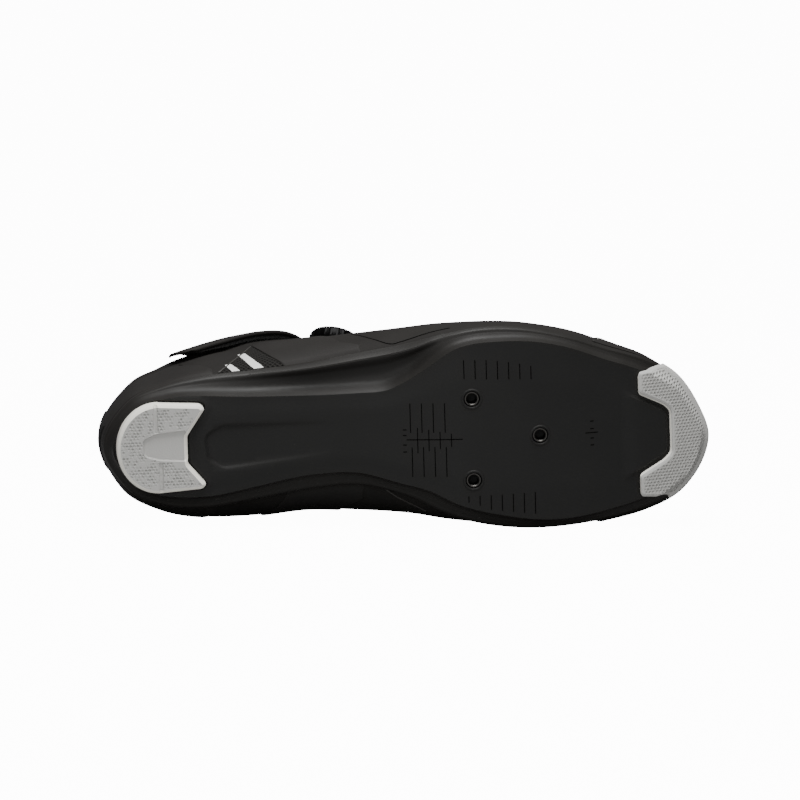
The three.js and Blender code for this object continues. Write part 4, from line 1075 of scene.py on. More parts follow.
def plan_mesh(outline: Array, loops: Sequence[Array], spacing: float) -> tuple[Array, Array]:
    """Triangles over a level outline, with crisp loops in them.

    Args:
        outline: Closed outline to fill.
        loops: Closed outlines that stay as edges.
        spacing: Distance between the points in between.

    Returns:
        Places seen from below, and the triangles between them.
    """
    low, high = outline.min(axis=0), outline.max(axis=0)
    x, y = np.meshgrid(
        np.arange(low[0], high[0], spacing), np.arange(low[1], high[1], spacing), indexing="ij",
    )
    x = (x + (np.arange(x.shape[1]) % 2) * spacing / 2).ravel()
    y = y.ravel()
    keep = edge_distance(x, y, outline) < -spacing * 0.4
    for loop in loops:
        keep &= np.abs(edge_distance(x, y, loop)) > spacing * 0.3
    rings = [outline, *loops]
    points = np.concatenate([*rings, np.stack([x[keep], y[keep]], axis=1)])
    edges = []
    base = 0
    for ring in rings:
        count = len(ring)
        edges.extend((base + i, base + (i + 1) % count) for i in range(count))
        base += count
    result = delaunay_2d_cdt([Vector(point) for point in points.tolist()], edges, [], 0, 1e-4)
    places = np.array([place[:] for place in result[0]])
    faces = np.array([tuple(face) for face in result[2]])
    centres = places[faces].mean(axis=1)
    return places, faces[edge_distance(centres[:, 0], centres[:, 1], outline) < 0]


def offset_loop(outline: Array, distance: float) -> Array:
    """Closed outline moved outward by a distance."""
    ahead = np.roll(outline, -1, axis=0) - np.roll(outline, 1, axis=0)
    x, y = outline.T
    area = np.sum(x * np.roll(y, -1) - np.roll(x, -1) * y)
    out = unit(np.stack([ahead[:, 1], -ahead[:, 0]], axis=1)) * math.copysign(1, area)
    return outline + out * distance


def circle(x: float, y: float, radius: float, count: int = 48) -> Array:
    """Closed round outline."""
    turn = np.arange(count) * math.tau / count
    return np.stack([x + radius * np.cos(turn), y + radius * np.sin(turn)], axis=1)


def ribbon(path: Array, out: Array, width: float, proud: float, sunk: float = 0.08) -> tuple[Array, Array]:
    """Outer and inner grids of a thin strip along a path on a surface.

    Args:
        path: Points along the middle.
        out: Way out of the surface at each point.
        width: Width of the strip.
        proud: How far it stands out.
        sunk: How far its inner face lies in the surface.

    Returns:
        The two grids.
    """
    run = unit(np.gradient(path, axis=0))
    across = unit(np.cross(out, run))[:, None]
    shares = np.array([-0.5, -0.4, 0.4, 0.5])[None, :, None]
    lift = np.array([0.3, 1, 1, 0.3])[None, :, None] * proud
    level = path[:, None] + across * shares * width
    return level + out[:, None] * lift, level - out[:, None] * sunk


def revolve(mesher: Mesher, centre: Array, axes: Array, radii: Array, heights: Array, slot: int = 0) -> None:
    """Adds a turned ring or body.

    Args:
        mesher: Mesh to add to.
        centre: Point that heights are measured from.
        axes: Two ways across and the way of the axis, one a row.
        radii: Radius of each ring, or of each column and ring.
        heights: Height of each ring.
        slot: Material slot.
    """
    radii = np.atleast_2d(radii)
    columns = max(len(radii), 48)
    radii = np.broadcast_to(radii, (columns, radii.shape[1]))
    turn = (np.arange(columns) * math.tau / columns)[:, None, None]
    level = np.cos(turn) * axes[0] + np.sin(turn) * axes[1]
    points = centre + radii[..., None] * level + np.asarray(heights)[None, :, None] * axes[2]
    mesher.grid(points, slot, closed=True)


def tube(mesher: Mesher, path: Array, out: Array, radius: float, sides: int = 10, slot: int = 0) -> None:
    """Adds a round tube with closed ends along a path."""
    run = unit(np.gradient(path, axis=0))
    across = unit(np.cross(out, run))
    up = np.cross(run, across)
    turn = np.arange(sides) * math.tau / sides
    section = np.cos(turn)[None, :, None] * across[:, None] + np.sin(turn)[None, :, None] * up[:, None]
    rings = path[:, None] + section * radius
    rings = np.concatenate([path[:1, None] + 0 * rings[:1], rings, path[-1:, None] + 0 * rings[-1:]])
    mesher.grid(np.swapaxes(rings, 0, 1), slot, closed=True)


def edge_rows(count: int) -> Array:
    """Even shares from 0 to 1 with two close rows at each end."""
    middle = np.linspace(0.03, 0.97, count - 4)
    return np.concatenate([[0, 0.012], middle, [0.988, 1]])[None, :]


@dataclass
class Outsole:
    """Plate with its rim, its pads, its nuts and the cleat's ticks."""

    heel_columns: int = 70
    middle_columns: int = 330
    toe_columns: int = 70
    wall_rows: int = 24
    spacing: float = 2.2
    lip_away: tuple[float, ...] = (0.0, 0.3, 1.2, 2.4)
    lip_raise: tuple[float, ...] = (0.1, 0.4, 0.42, 0.0)
    ring_away: tuple[float, ...] = (0.0, 0.25, 0.7, 1.1)
    ring_raise: tuple[float, ...] = (0.1, 0.3, 0.3, 0.0)
    well_radius: float = 3.6
    recess_depth: float = 1.2
    recess_wall: float = 1.7
    tongue_raise: float = 1.1
    tick_width: float = 0.42
    tick_proud: float = 0.04

    def __post_init__(self) -> None:
        """Prepares the outlines that the underside follows."""
        s = PLATE_SIZES
        self.pocket = self.heel_outline(s.pad_groove)
        self.pocket_floor = float(LAST.plate_z(s.pad_back + s.pad_length / 2)) + s.pad_seat
        self.recess = resample(rounded_outline(WAIST_RECESS, 3.0), 0.9)
        back = SIZES.length - s.toe_pad_length
        middle = SIZES.toe_tip * SIZES.ball_width * 0.45
        notch = back + s.notch_depth
        half = (
            (back - 9.0, s.notch_width / 2 + 3.5),
            (back - 0.5, s.notch_width / 2 - 1.6),
            (notch - s.notch_corner - 1.0, s.notch_floor / 2 + s.notch_corner - 1.4),
            (notch - 1.2, s.notch_floor / 2 - 1.0),
        )
        corners = [(x, middle - y) for x, y in half] + [(x, middle + y) for x, y in reversed(half)]
        self.tongue = resample(rounded_outline(corners, 2.0), 0.9)
        self.tongue_back = back

    def heel_outline(self, margin: float) -> Array:
        """Outline of the heel pad, larger by a margin all round."""
        s = PLATE_SIZES
        half = s.pad_width / 2 + margin
        back = s.pad_back - margin
        front = s.pad_back + s.pad_length + margin
        middle = SIZES.heel_tip * SIZES.ball_width - s.pad_tip / 2
        start = back + half * 0.92
        corners = [
            (front - s.pad_tip, middle - half * 0.94),
            (front, middle - half * 0.94 + s.pad_tip),
            (front - s.pad_notch, middle - half * 0.25),
            (front - s.pad_notch, middle + half * 0.36),
            (front, middle + half * 0.94 - s.pad_tip),
            (front - s.pad_tip, middle + half * 0.94),
        ]
        turns = np.linspace(math.pi / 2, math.pi * 1.5, 60)
        corners += [(start + (start - back) * math.cos(a), middle + half * math.sin(a)) for a in turns]
        return resample(rounded_outline(corners, 0.9, 4), 0.7)

    def surface(self, x: Array, y: Array) -> Array:
        """Height of the plate's underside with its pocket, recess, wells and raised tongue."""
        z = LAST.underside(x, y)
        in_recess = 1 - smoothstep(edge_distance(x, y, self.recess), -self.recess_wall, 0)
        ends = self.recess[:, 0].min(), self.recess[:, 0].max()
        depth = np.clip(np.interp(x, ends, (self.recess_depth, -0.2)), 0, None)
        z = z + in_recess * depth
        in_tongue = 1 - smoothstep(edge_distance(x, y, self.tongue), -1.3, 0)
        z = z - in_tongue * self.tongue_raise * smoothstep(x, self.tongue_back - 9, self.tongue_back)
        away = edge_distance(x, y, self.pocket)
        z = np.where(away < -0.02, self.pocket_floor, z - np.interp(away, self.lip_away, self.lip_raise))
        for bolt_x, bolt_y in BOLTS.values():
            away = np.hypot(x - bolt_x, y - bolt_y) - self.well_radius
            floor = LAST.plate_z(bolt_x) + PLATE_SIZES.nut_sunk + PLATE_SIZES.nut_length + SIZES.gap
            z = np.where(away < -0.02, floor, z - np.interp(away, self.ring_away, self.ring_raise))
        return z

    def build_plate(self) -> bpy.types.Object:
        """Builds the plate: its underside, its side wall, its rim and its top."""
        mesher = Mesher("sole_plate")
        p, side = around(self.heel_columns, self.middle_columns, self.toe_columns)
        x0, y0, dx, dy, rim = LAST.rays(p, side)
        inset = SIZES.edge_roll * LAST.by_side(side, lambda one: LAST.inset[one](p))
        edge = rim - inset
        outline = np.stack([x0 + dx * edge, y0 + dy * edge], axis=1)
        loops = [offset_loop(self.pocket, away) for away in (-0.08, *self.lip_away)]
        loops += [offset_loop(self.recess, -self.recess_wall * share) for share in (0, 0.33, 0.67, 1)]
        loops += [offset_loop(self.tongue, away) for away in (0, -0.65, -1.3)]
        for bolt_x, bolt_y in BOLTS.values():
            loops += [circle(bolt_x, bolt_y, self.well_radius + away) for away in (-0.06, *self.ring_away)]
        places, faces = plan_mesh(outline, loops, self.spacing)
        z = self.surface(places[:, 0], places[:, 1])
        mesher.add(np.column_stack([places, z]), faces)
        out = np.linspace(0, 1, self.wall_rows)
        distance = [edge + inset * share for share in out]
        share = [LAST.wall_height(p, side, np.full_like(p, value)) for value in out]
        roll = SIZES.rim_round
        for turn in np.linspace(0, math.pi / 2, 6)[1:]:
            distance.append(rim - roll + roll * math.cos(turn))
            share.append(np.full_like(p, 0.82 + 0.18 * math.sin(turn)))
        for way in (0.9, 0.6, 0.3, 0.0):
            distance.append((rim - roll) * way)
            share.append(np.ones_like(p))
        distance, share = np.stack(distance, axis=1), np.stack(share, axis=1)
        x = x0[:, None] + dx[:, None] * distance
        y = y0[:, None] + dy[:, None] * distance
        low, high = LAST.plate_z(x), LAST.top_z(x)
        rows = np.stack([x, y, low + (high - low) * share], axis=-1)
        rows[:, 0, 2] = self.surface(rows[:, 0, 0], rows[:, 0, 1])
        mesher.grid(rows, 1, closed=True)
        return settle(mesher.finish([LOOKS.plate, LOOKS.wall], 26), "plate", "outsole")

    def build_heel_pad(self) -> bpy.types.Object:
        """Builds the heel's pad, with its bevel, its step ribs and its smooth recess."""
        mesher = Mesher("heel_pad")
        outline = self.heel_outline(0)
        recess = resample(rounded_outline(HEEL_RECESS, 1.2), 0.7)
        ribs = [resample(rounded_outline(corners, 0.4, 3), 0.7) for corners in HEEL_RIBS]
        loops = [offset_loop(outline, away) for away in (-0.4, -1.5)]
        loops += [offset_loop(recess, away) for away in (0, -0.5)]
        loops += [offset_loop(rib, away) for rib in ribs for away in (0, 0.35)]
        places, faces = plan_mesh(outline, loops, 1.6)
        x, y = places.T
        away = edge_distance(x, y, outline)
        z = np.interp(away, (-1.5, -0.4, 0), (0, 0.8, 1.5))
        hollow = edge_distance(x, y, recess)
        z = z + 1.1 * smoothstep(-hollow, 0, 0.5)
        for rib in ribs:
            z = z + 0.8 * smoothstep(-edge_distance(x, y, rib), -0.35, 0.2)
        flat = (away < -1.6) & (hollow > 0.2)
        for rib in ribs:
            flat &= edge_distance(x, y, rib) > 0.3
        centres = places[faces].mean(axis=1)
        bevel = edge_distance(centres[:, 0], centres[:, 1], outline) > -1.5
        points = np.column_stack([places, z])
        mesher.add(points, faces[~bevel], 0, flat)
        mesher.add(points, faces[bevel], 1)
        top = self.pocket_floor - SIZES.gap
        back = np.column_stack([places, np.full(len(places), top)])
        mesher.add(back, faces[:, ::-1], 1)
        edge = np.column_stack([outline, np.full(len(outline), 1.5)])
        wall = np.stack([edge, np.column_stack([outline, np.full(len(outline), top)])], axis=1)
        mesher.grid(wall, 1, closed=True)
        return settle(mesher.finish([LOOKS.pad, LOOKS.pad_edge_painted_highlight], 24), "pad", "heel_tread")

    def build_toe_pad(self) -> bpy.types.Object:
        """Builds the toe's pad, which wraps over the rim and stays open to the heel."""
        s = PLATE_SIZES
        mesher = Mesher("toe_pad")
        proud, wrap = s.toe_pad_proud + SIZES.gap, s.toe_pad_wrap + SIZES.gap
        back = SIZES.length - s.toe_pad_length
        middle = SIZES.toe_tip * SIZES.ball_width * 0.45
        notch = back + s.notch_depth
        half = [
            (back, s.notch_width / 2), (back, s.toe_pad_width / 2),
            (back + s.notch_depth * 0.9, s.toe_pad_width / 2 + s.toe_pad_flare),
            (SIZES.length, SIZES.ball_width), (SIZES.length * 1.1, 0),
        ]
        floor = [
            (notch, s.notch_floor / 2),
            (notch - s.notch_corner, s.notch_floor / 2 + s.notch_corner),
        ]
        corners = [(x, middle - y) for x, y in half] + [(x, middle + y) for x, y in reversed(half[:-1])]
        corners += [(x, middle + y) for x, y in reversed(floor)] + [(x, middle - y) for x, y in floor]
        shape = resample(rounded_outline(corners, 1.4), 0.8)
        p, side = around(40, 120, 90)
        x0, y0, dx, dy, rim = LAST.rays(p, side)
        reach = rim + wrap - 0.02
        outer = np.stack([x0 + dx * reach, y0 + dy * reach], axis=1)
        loops = [shape, *(offset_loop(shape, away) for away in (-0.45, -1.3))]
        for step in TOE_WALL_STEPS:
            loops.append(np.stack([x0 + dx * (reach - step), y0 + dy * (reach - step)], axis=1))
        places, faces = plan_mesh(outer, loops, 1.5)
        centres = places[faces].mean(axis=1)
        faces = faces[edge_distance(centres[:, 0], centres[:, 1], shape) < 0]
        used, faces = np.unique(faces, return_inverse=True)
        places, faces = places[used], faces.reshape(-1, 3)
        x, y = places.T
        slope = SIZES.toe_lift * float(LAST.top(1.0) - LAST.top(0.88)) / (0.12 * SIZES.length)
        lid = SIZES.toe_lift - 2 + slope * (x - SIZES.length)
        away = edge_distance(x, y, shape)
        chamfer = np.interp(away, (-1.3, -0.45, 0), (0, 0.45, 1.0))
        z = np.minimum(LAST.underside(x, y, proud, wrap) + chamfer, lid)
        station, which, distance = LAST.find(x, y)
        way_x, way_y, ray_rim = LAST.rays(station, which)[2:]
        edge = ray_rim - SIZES.edge_roll * LAST.by_side(which, lambda one: LAST.inset[one](station))
        inward = s.toe_pad_wrap * np.clip(distance / edge, 0, 1)
        inner_x, inner_y = x - way_x * inward, y - way_y * inward
        inner_z = np.minimum(LAST.underside(inner_x, inner_y, SIZES.gap, SIZES.gap), lid + 0.4)
        flat = (distance < ray_rim - 0.8) & (away < -1.4)
        base = mesher.count
        mesher.add(np.stack([x, y, z], axis=1), faces, 0, flat)
        mesher.add(np.stack([inner_x, inner_y, np.maximum(inner_z, z + 0.2)], axis=1), faces[:, ::-1], 1)
        sides = {(a, b) for face in faces.tolist() for a, b in zip(face, face[1:] + face[:1])}
        count = len(places)
        for a, b in sides:
            if (b, a) not in sides:
                mesher.faces.append((base + b, base + a, base + count + a, base + count + b))
                mesher.slots.append(1)
        return settle(mesher.finish([LOOKS.pad, LOOKS.pad_edge_painted_highlight], 24), "pad", "toe_tread")

    def build_nuts(self) -> None:
        """Builds the three threaded nuts."""
        s = PLATE_SIZES
        axes = np.eye(3)
        threads = np.linspace(0.35, s.nut_length - 0.35, 13)
        bores = s.nut_bore + 0.16 * (np.arange(13) % 2)
        for name, (x, y) in BOLTS.items():
            mesher = Mesher(f"{name}_steel")
            foot = float(LAST.plate_z(x)) + s.nut_sunk
            radii = [s.nut_bore + 0.35, s.nut_radius - 0.25, s.nut_radius, s.nut_radius, s.nut_bore + 0.35]
            heights = [0.0, 0.0, 0.25, s.nut_length, s.nut_length]
            radii = np.array([*radii, *bores[::-1], s.nut_bore + 0.35])
            heights = np.array([*heights, *threads[::-1], 0.0])
            revolve(mesher, np.array([x, y, foot]), axes, radii, heights)
            settle(mesher.finish([LOOKS.metal], 30), "nut", name)

    def build_ticks(self) -> bpy.types.Object:
        """Builds the thin lines that the cleat is set against."""
        mesher = Mesher("cleat_ticks")
        for ax, ay, bx, by in [*CLEAT_TICKS, *TICK_MARKS]:
            count = max(3, int(math.hypot(bx - ax, by - ay) / 1.2) + 1)
            x, y = np.linspace(ax, bx, count), np.linspace(ay, by, count)
            path = np.stack([x, y, self.surface(x, y)], axis=1)
            out = np.tile((0.0, 0.0, -1.0), (count, 1))
            mesher.shell(*ribbon(path, out, self.tick_width, self.tick_proud))
        return settle(mesher.finish([LOOKS.ink], 30), "plate")

    def build(self) -> None:
        """Builds every piece of the sole."""
        self.build_plate()
        self.build_heel_pad()
        self.build_toe_pad()
        self.build_nuts()
        self.build_ticks()


@dataclass
class Upper:
    """Shell of the upper, its lining, its overlays and what is sewn or welded on it."""

    heel_columns: int = 60
    middle_columns: int = 250
    toe_columns: int = 50
    rows: int = 56
    collar_pad: float = 1.0
    lining_pad: float = 2.2
    insole_thickness: float = 3.5
    insole_clearance: float = 0.6
    tongue_clearance: float = 0.8
    tongue_thickness: float = 3.4
    tongue_top: float = 0.345
    tongue_root: float = 0.73
    tongue_half: float = 0.32
    film_lift: float = 0.12
    film_thickness: float = 0.45
    film_foot: float = 0.0
    film_melt: float = 0.05
    toe_cap_share: float = 1.4
    knit_lift: float = 0.15
    stripe_lift: float = 0.32

    def felt_edge(self, p: Array, side: Array) -> Array:
        """How far the lower edge is turned in."""
        start, after = LAST.point(p, side, 0.0), LAST.point(p, side, 0.04)
        step = after - start
        lean = np.arctan2(step[..., 2], np.hypot(step[..., 0], step[..., 1]))
        return SIZES.wall / np.maximum(np.sin(lean), 0.4)

    def relief(self, p: Array, t: Array, share: Array) -> Array:
        """How far the outer face lies from the last: flex creases in, the collar's padding out."""
        lift = np.zeros(np.broadcast(p, t).shape)
        top = smoothstep(t, 0.3, 0.75)
        for at, depth, wander, phase in zip(*FLEX_CREASES.values()):
            away = p - at - wander * np.sin(t * 9 + phase) - 0.02 * (1 - t)
            lift -= top * depth * np.exp(-((away / 0.0055) ** 2))
            lift += top * depth * 0.45 * np.exp(-(((away - 0.013) / 0.008) ** 2))
        collar = smoothstep(0.36 - p, 0, 0.04)
        lift += collar * self.collar_pad * smoothstep(share, 0.74, 0.86) * (1 - smoothstep(share, 0.93, 1.0))
        lift -= collar * 0.35 * np.exp(-(((share - 0.74) / 0.012) ** 2))
        return lift

    def build_shell(self) -> bpy.types.Object:
        """Builds the hollow shell with its rounded collar and throat."""
        mesher = Mesher("upper_shell")
        p, side = around(self.heel_columns, self.middle_columns, self.toe_columns)
        edge = LAST.by_side(side, lambda one: LAST.edge[one](p))
        share = np.linspace(0, 1, self.rows)[None, :]
        t = edge[:, None] * share
        columns, sides = p[:, None], np.broadcast_to(side[:, None], t.shape)
        outer = LAST.skin(columns, sides, t, self.relief(columns, t, share))
        collar = smoothstep(0.36 - columns, 0, 0.05) * smoothstep(share, 0.62, 0.85)
        inner = LAST.skin(columns, sides, t, -SIZES.wall - collar * self.lining_pad * (1 - 0.5 * share**8))
        rays = LAST.rays(p, side)
        inward = self.felt_edge(p, side)
        inner[:, 0] = outer[:, 0] - np.stack([rays[2] * inward, rays[3] * inward, 0 * inward], axis=-1)
        mesher.grid(outer, 0, closed=True)
        mesher.grid(inner, 1, closed=True)
        mesher.grid(np.stack([outer[:, 0], inner[:, 0]], axis=1), 0, closed=True)
        open_until = 0.6805
        medial = np.flatnonzero((side > 0) & (p <= open_until))
        lateral = np.flatnonzero((side < 0) & (p <= open_until))
        ring = np.concatenate([medial, lateral])
        middle, half = (outer[ring, -1] + inner[ring, -1]) / 2, (outer[ring, -1] - inner[ring, -1]) / 2
        up = unit(outer[ring, -1] - outer[ring, -3]) * np.linalg.norm(half, axis=1, keepdims=True)
        up *= (1 - smoothstep(p[ring], 0.6, 0.675))[:, None]
        turns = np.linspace(0, math.pi, 8)[None, :, None]
        cap = middle[:, None] + half[:, None] * np.cos(turns) + up[:, None] * np.sin(turns) * 0.7
        mesher.grid(cap, lambda row: 0 if row < 3 else 1)
        return settle(mesher.finish([LOOKS.microfibre, LOOKS.lining], 35), "microfibre", "upper")

    @staticmethod
    def reach_line(p: Array, side: Array, bound: Callable[[Array], Array]) -> Array:
        """Share of the way up at which the last meets a line seen from the side."""
        low, high = np.zeros(p.shape), np.ones(p.shape)
        for _ in range(22):
            middle = (low + high) / 2
            here = LAST.point(p, side, middle)
            below = here[..., 2] < bound(here[..., 0])
            low, high = np.where(below, middle, low), np.where(below, high, middle)
        return (low + high) / 2

    def film(self, name: str, p: Array, side: Array, t: Array, level: int, slot: str, node: str,
             look: bpy.types.Material) -> bpy.types.Object:
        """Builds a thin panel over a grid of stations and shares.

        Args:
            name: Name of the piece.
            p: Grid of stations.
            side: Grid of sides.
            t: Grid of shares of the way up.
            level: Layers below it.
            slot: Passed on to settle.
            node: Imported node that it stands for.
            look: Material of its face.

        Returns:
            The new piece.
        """
        mesher = Mesher(name)
        lift = self.film_lift + level * (self.film_lift + self.film_thickness)
        columns, rows = p.shape
        from_side = np.minimum(np.arange(columns), np.arange(columns)[::-1])[:, None]
        from_end = np.minimum(np.arange(rows), np.arange(rows)[::-1])[None, :]
        crown = np.interp(np.minimum(from_side, from_end), (0, 1, 2), (0.25, 0.8, 1.0))
        relief = self.relief(p, t, np.zeros_like(t))
        melt = smoothstep(t, 0, self.film_melt)
        outer = LAST.skin(p, side, t, 0.06 + (lift + self.film_thickness * crown) * melt + relief * 0.8)
        inner = LAST.skin(p, side, t, np.full(p.shape, 0.05))
        mesher.shell(outer, inner)
        return settle(mesher.finish([look], 35), slot, node)

    def build_counter(self) -> None:
        """Builds the heel counter and the tab on its back."""
        front = HEEL_COUNTER["at"][-1]
        shares = np.concatenate([np.linspace(front, 0, 60, endpoint=False), np.linspace(0, front, 61)])
        side = np.concatenate([np.full(60, MEDIAL), np.full(61, LATERAL)])
        line = np.array(HEEL_COUNTER["at"]) * SIZES.length, np.array(HEEL_COUNTER["up"]) * SIZES.instep_height
        low = np.full(len(shares), self.film_foot)
        high = self.reach_line(shares, side, lambda x: LAST.seam_z(x) + np.interp(x, *line))
        rows = edge_rows(34)
        t = low[:, None] + (high - low)[:, None] * rows
        p, sides = (np.broadcast_to(values[:, None], t.shape) for values in (shares, side))
        self.film("heel_counter_film", p, sides, t, 0, "film", "heel_counter", LOOKS.film)
        shares = np.concatenate([np.linspace(0.031, 0, 20, endpoint=False), np.linspace(0, 0.017, 19)])
        side = np.concatenate([np.full(20, MEDIAL), np.full(19, LATERAL)])
        low = LAST.climb(shares, side, np.full(39, TAB_HEIGHTS[0]))
        high = LAST.climb(shares, side, np.full(39, TAB_HEIGHTS[1]))
        t = low[:, None] + (high - low)[:, None] * edge_rows(24)
        p, sides = (np.broadcast_to(values[:, None], t.shape) for values in (shares, side))
        self.film("heel_tab_tape", p, sides, t, 1, "tab", "heel_tab", LOOKS.tape)

    def build_quarters(self) -> None:
        """Builds the two side panels, whose rear edge follows the knit window."""
        rear, front = QUARTER_REAR["at"][0], QUARTER_FRONT["at"][0]
        stations = np.linspace(rear + 1e-4, front - 1e-4, 110)
        high_at = (*QUARTER_REAR["at"], *QUARTER_FRONT["at"][::-1])
        high_up = (*QUARTER_REAR["up"], *QUARTER_FRONT["up"][::-1])
        low_up = (*WINDOW["up"][:0:-1], self.film_foot)
        low = np.interp(stations, WINDOW["front"][::-1], low_up)
        base = LAST.seam_z(stations * SIZES.length)
        high_z = base + np.interp(stations, high_at, high_up) * SIZES.instep_height
        for name, side in (("lateral", LATERAL), ("medial", MEDIAL)):
            sides = np.full(len(stations), side)
            high = LAST.climb(stations, sides, high_z)
            t = low[:, None] + (high - low)[:, None] * edge_rows(40)
            p, grid = (np.broadcast_to(values[:, None], t.shape) for values in (stations, sides))
            self.film(f"quarter_{name}_film", p, grid, t, 0, "film", f"quarter_{name}", LOOKS.film)

    def build_toe_cap(self) -> None:
        """Builds the toe's overlay, from its rear edge round the toe."""
        rows = np.linspace(0, 1, 46)[None, :]
        near = edge_rows(50)[0][:, None]
        line = np.array(TOE_CAP["up"]) * SIZES.instep_height, np.array(TOE_CAP["at"])
        grids = []
        for side in (LATERAL, MEDIAL):
            p = np.full((50, 46), 0.87)
            sides = np.full(p.shape, side)
            for _ in range(6):
                foot = self.reach_line(p, sides, LAST.seam_z)
                t = foot + (1 - foot) * rows
                here = LAST.point(p, sides, t)
                up = here[..., 2] - LAST.seam_z(here[..., 0])
                rear = np.interp(up[:1], *line)
                p = rear + (1 - rear) * near
            grids.append((p, sides, t))
        p, sides, t = (np.concatenate([a, b[::-1][1:]]) for a, b in zip(*grids))
        mesher = Mesher("toe_cap_film")
        from_side = np.minimum(np.arange(len(p)), np.arange(len(p))[::-1])[:, None]
        crown = np.interp(np.minimum(from_side, np.arange(46)[None, :]), (0, 1, 2), (0.25, 0.8, 1.0))
        outer = LAST.skin(p, sides, t, self.film_lift + self.film_thickness * self.toe_cap_share * crown)
        inner = LAST.skin(p, sides, t, np.full(p.shape, 0.05))
        mesher.grid(outer)
        mesher.grid(inner)
        mesher.grid(np.stack([outer[:, 0], inner[:, 0]], axis=1))
        for end in (0, -1):
            mesher.grid(np.stack([outer[end], inner[end]]))
        settle(mesher.finish([LOOKS.film], 35), "film", "toe_cap")

    def build_insole(self) -> None:
        """Builds the footbed, slightly cupped at its edge."""
        mesher = Mesher("footbed")
        p, side = around(30, 90, 30)
        x0, y0, dx, dy, rim = LAST.rays(p, side)
        edge = rim - SIZES.feather_inset - self.felt_edge(p, side) - self.insole_clearance
        shares = np.array([0, 0.3, 0.6, 0.85, 0.96, 1.0, 1.0, 0.97, 0.9, 0.75, 0.5, 0.25, 0])
        lifts = SIZES.gap + self.insole_thickness * np.array(
            [0, 0, 0, 0, 0, 0.15, 0.85, 1.0, 0.93, 0.85, 0.82, 0.8, 0.8],
        )
        distance = edge[:, None] * shares
        x = x0[:, None] + dx[:, None] * distance
        points = np.stack([x, y0[:, None] + dy[:, None] * distance, LAST.top_z(x) + lifts], axis=-1)
        mesher.grid(points, closed=True)
        settle(mesher.finish([LOOKS.lining], 35), "lining", "insole")

    def build_tongue(self) -> None:
        """Builds the padded tongue with its sewn channels and bound edge."""
        mesher = Mesher("padded_tongue")
        p = np.linspace(self.tongue_top, self.tongue_root, 110)[:, None]
        g = np.linspace(-self.tongue_half, self.tongue_half, 61)[None, :]
        away = np.abs(g) / self.tongue_half
        end = np.minimum(p - self.tongue_top, self.tongue_root - p) * SIZES.length
        crown = np.sqrt(np.clip(1 - away**6, 0, 1)) * np.clip(end / 3, 0, 1) ** 0.5
        for at in (0.40, 0.46, 0.52, 0.58):
            crown = crown - 0.28 * np.exp(-(((p - at - 0.02 * away) / 0.0035) ** 2)) * (away < 0.84)
        crown = crown - 0.3 * np.exp(-(((away - 0.87) / 0.02) ** 2))
        half = self.tongue_thickness / 2
        middle = -(SIZES.wall + self.tongue_clearance + half)
        outer = LAST.across(p + 0 * g, g + 0 * p, middle + half * crown)
        inner = LAST.across(p + 0 * g, g + 0 * p, middle - half * crown)
        mesher.shell(outer, inner)
        piece = mesher.finish([LOOKS.lining], 50)
        settle(piece, "lining", "tongue")

    @staticmethod
    def patch(name: str, p: Array, t: Array, lift: float, look: bpy.types.Material, slot: str) -> None:
        """Builds a thin patch on the lateral side of the shell, over a grid of stations and shares."""
        mesher = Mesher(name)
        sides = np.full(p.shape, LATERAL)
        mesher.shell(LAST.skin(p, sides, t, lift), LAST.skin(p, sides, t, lift - 0.25))
        settle(mesher.finish([look], 40), slot)

    def build_window(self) -> None:
        """Builds the knit window behind the lateral quarter and its two pale stripes."""
        rows = np.linspace(0, 1, 40)[None, :]
        across = np.linspace(0, 1, 24)[:, None]
        patches = [("knit_window", WINDOW, self.knit_lift, LOOKS.knit, "lining")]
        for i, shape in enumerate(STRIPES):
            patches.append((f"pale_stripe_{i + 1}", shape, self.stripe_lift, LOOKS.stripe, "lace"))
        for name, shape, lift, look, slot in patches:
            t = shape["up"][0] + (shape["up"][-1] - shape["up"][0]) * rows
            rear = np.interp(t, shape["up"], shape["rear"])
            front = np.interp(t, shape["up"], shape["front"])
            p = rear + (front - rear) * across
            self.patch(name, p, t + 0 * p, lift, look, slot)

    def build_seams(self) -> None:
        """Builds the welded edges and the seams that run over the shell."""
        for name, side, width, proud, places in SEAMS:
            ends = np.array(places)
            shares = np.linspace(0, 1, 24 * len(ends))
            p, t = catmull_rom(ends * (1.0, 0.5), shares).T * np.array([[1.0], [2.0]])
            sides = np.full(len(p), side)
            mesher = Mesher(name)
            path = LAST.skin(p, sides, t, np.full(len(p), 0.02))
            mesher.shell(*ribbon(path, LAST.normal(p, sides, t), width, proud))
            settle(mesher.finish([LOOKS.piping if proud > 0.2 else LOOKS.ink], 40), "film")

    def build_stitches(self) -> None:
        """Sews the toe's overlay and the collar."""
        t = np.linspace(0.1, 1.0, 60)
        for name, side in (("lateral", LATERAL), ("medial", MEDIAL)):
            sides = np.full(len(t), side)
            p = np.full(len(t), 0.83)
            for _ in range(6):
                here = LAST.point(p, sides, t)
                up = (here[:, 2] - LAST.seam_z(here[:, 0])) / SIZES.instep_height
                p = np.interp(up, TOE_CAP["up"], TOE_CAP["at"]) + 0.008
            lift = self.film_lift + self.film_thickness * self.toe_cap_share
            path = LAST.skin(p, sides, t, np.full(len(t), lift))
            sew(f"toe_cap_stitches_{name}", path, 2.6, 1.5, 0.22, LOOKS.thread)
            p = np.linspace(0.0, 0.66, 240)
            sides = np.full(len(p), side)
            t_edge = LAST.by_side(sides, lambda one: LAST.edge[one](p)) * 0.955
            path = LAST.skin(p, sides, t_edge, self.relief(p, t_edge, np.full(len(p), 0.955)) + 0.05)
            sew(f"collar_stitches_{name}", path, 2.4, 1.5, 0.2, LOOKS.dark_thread)

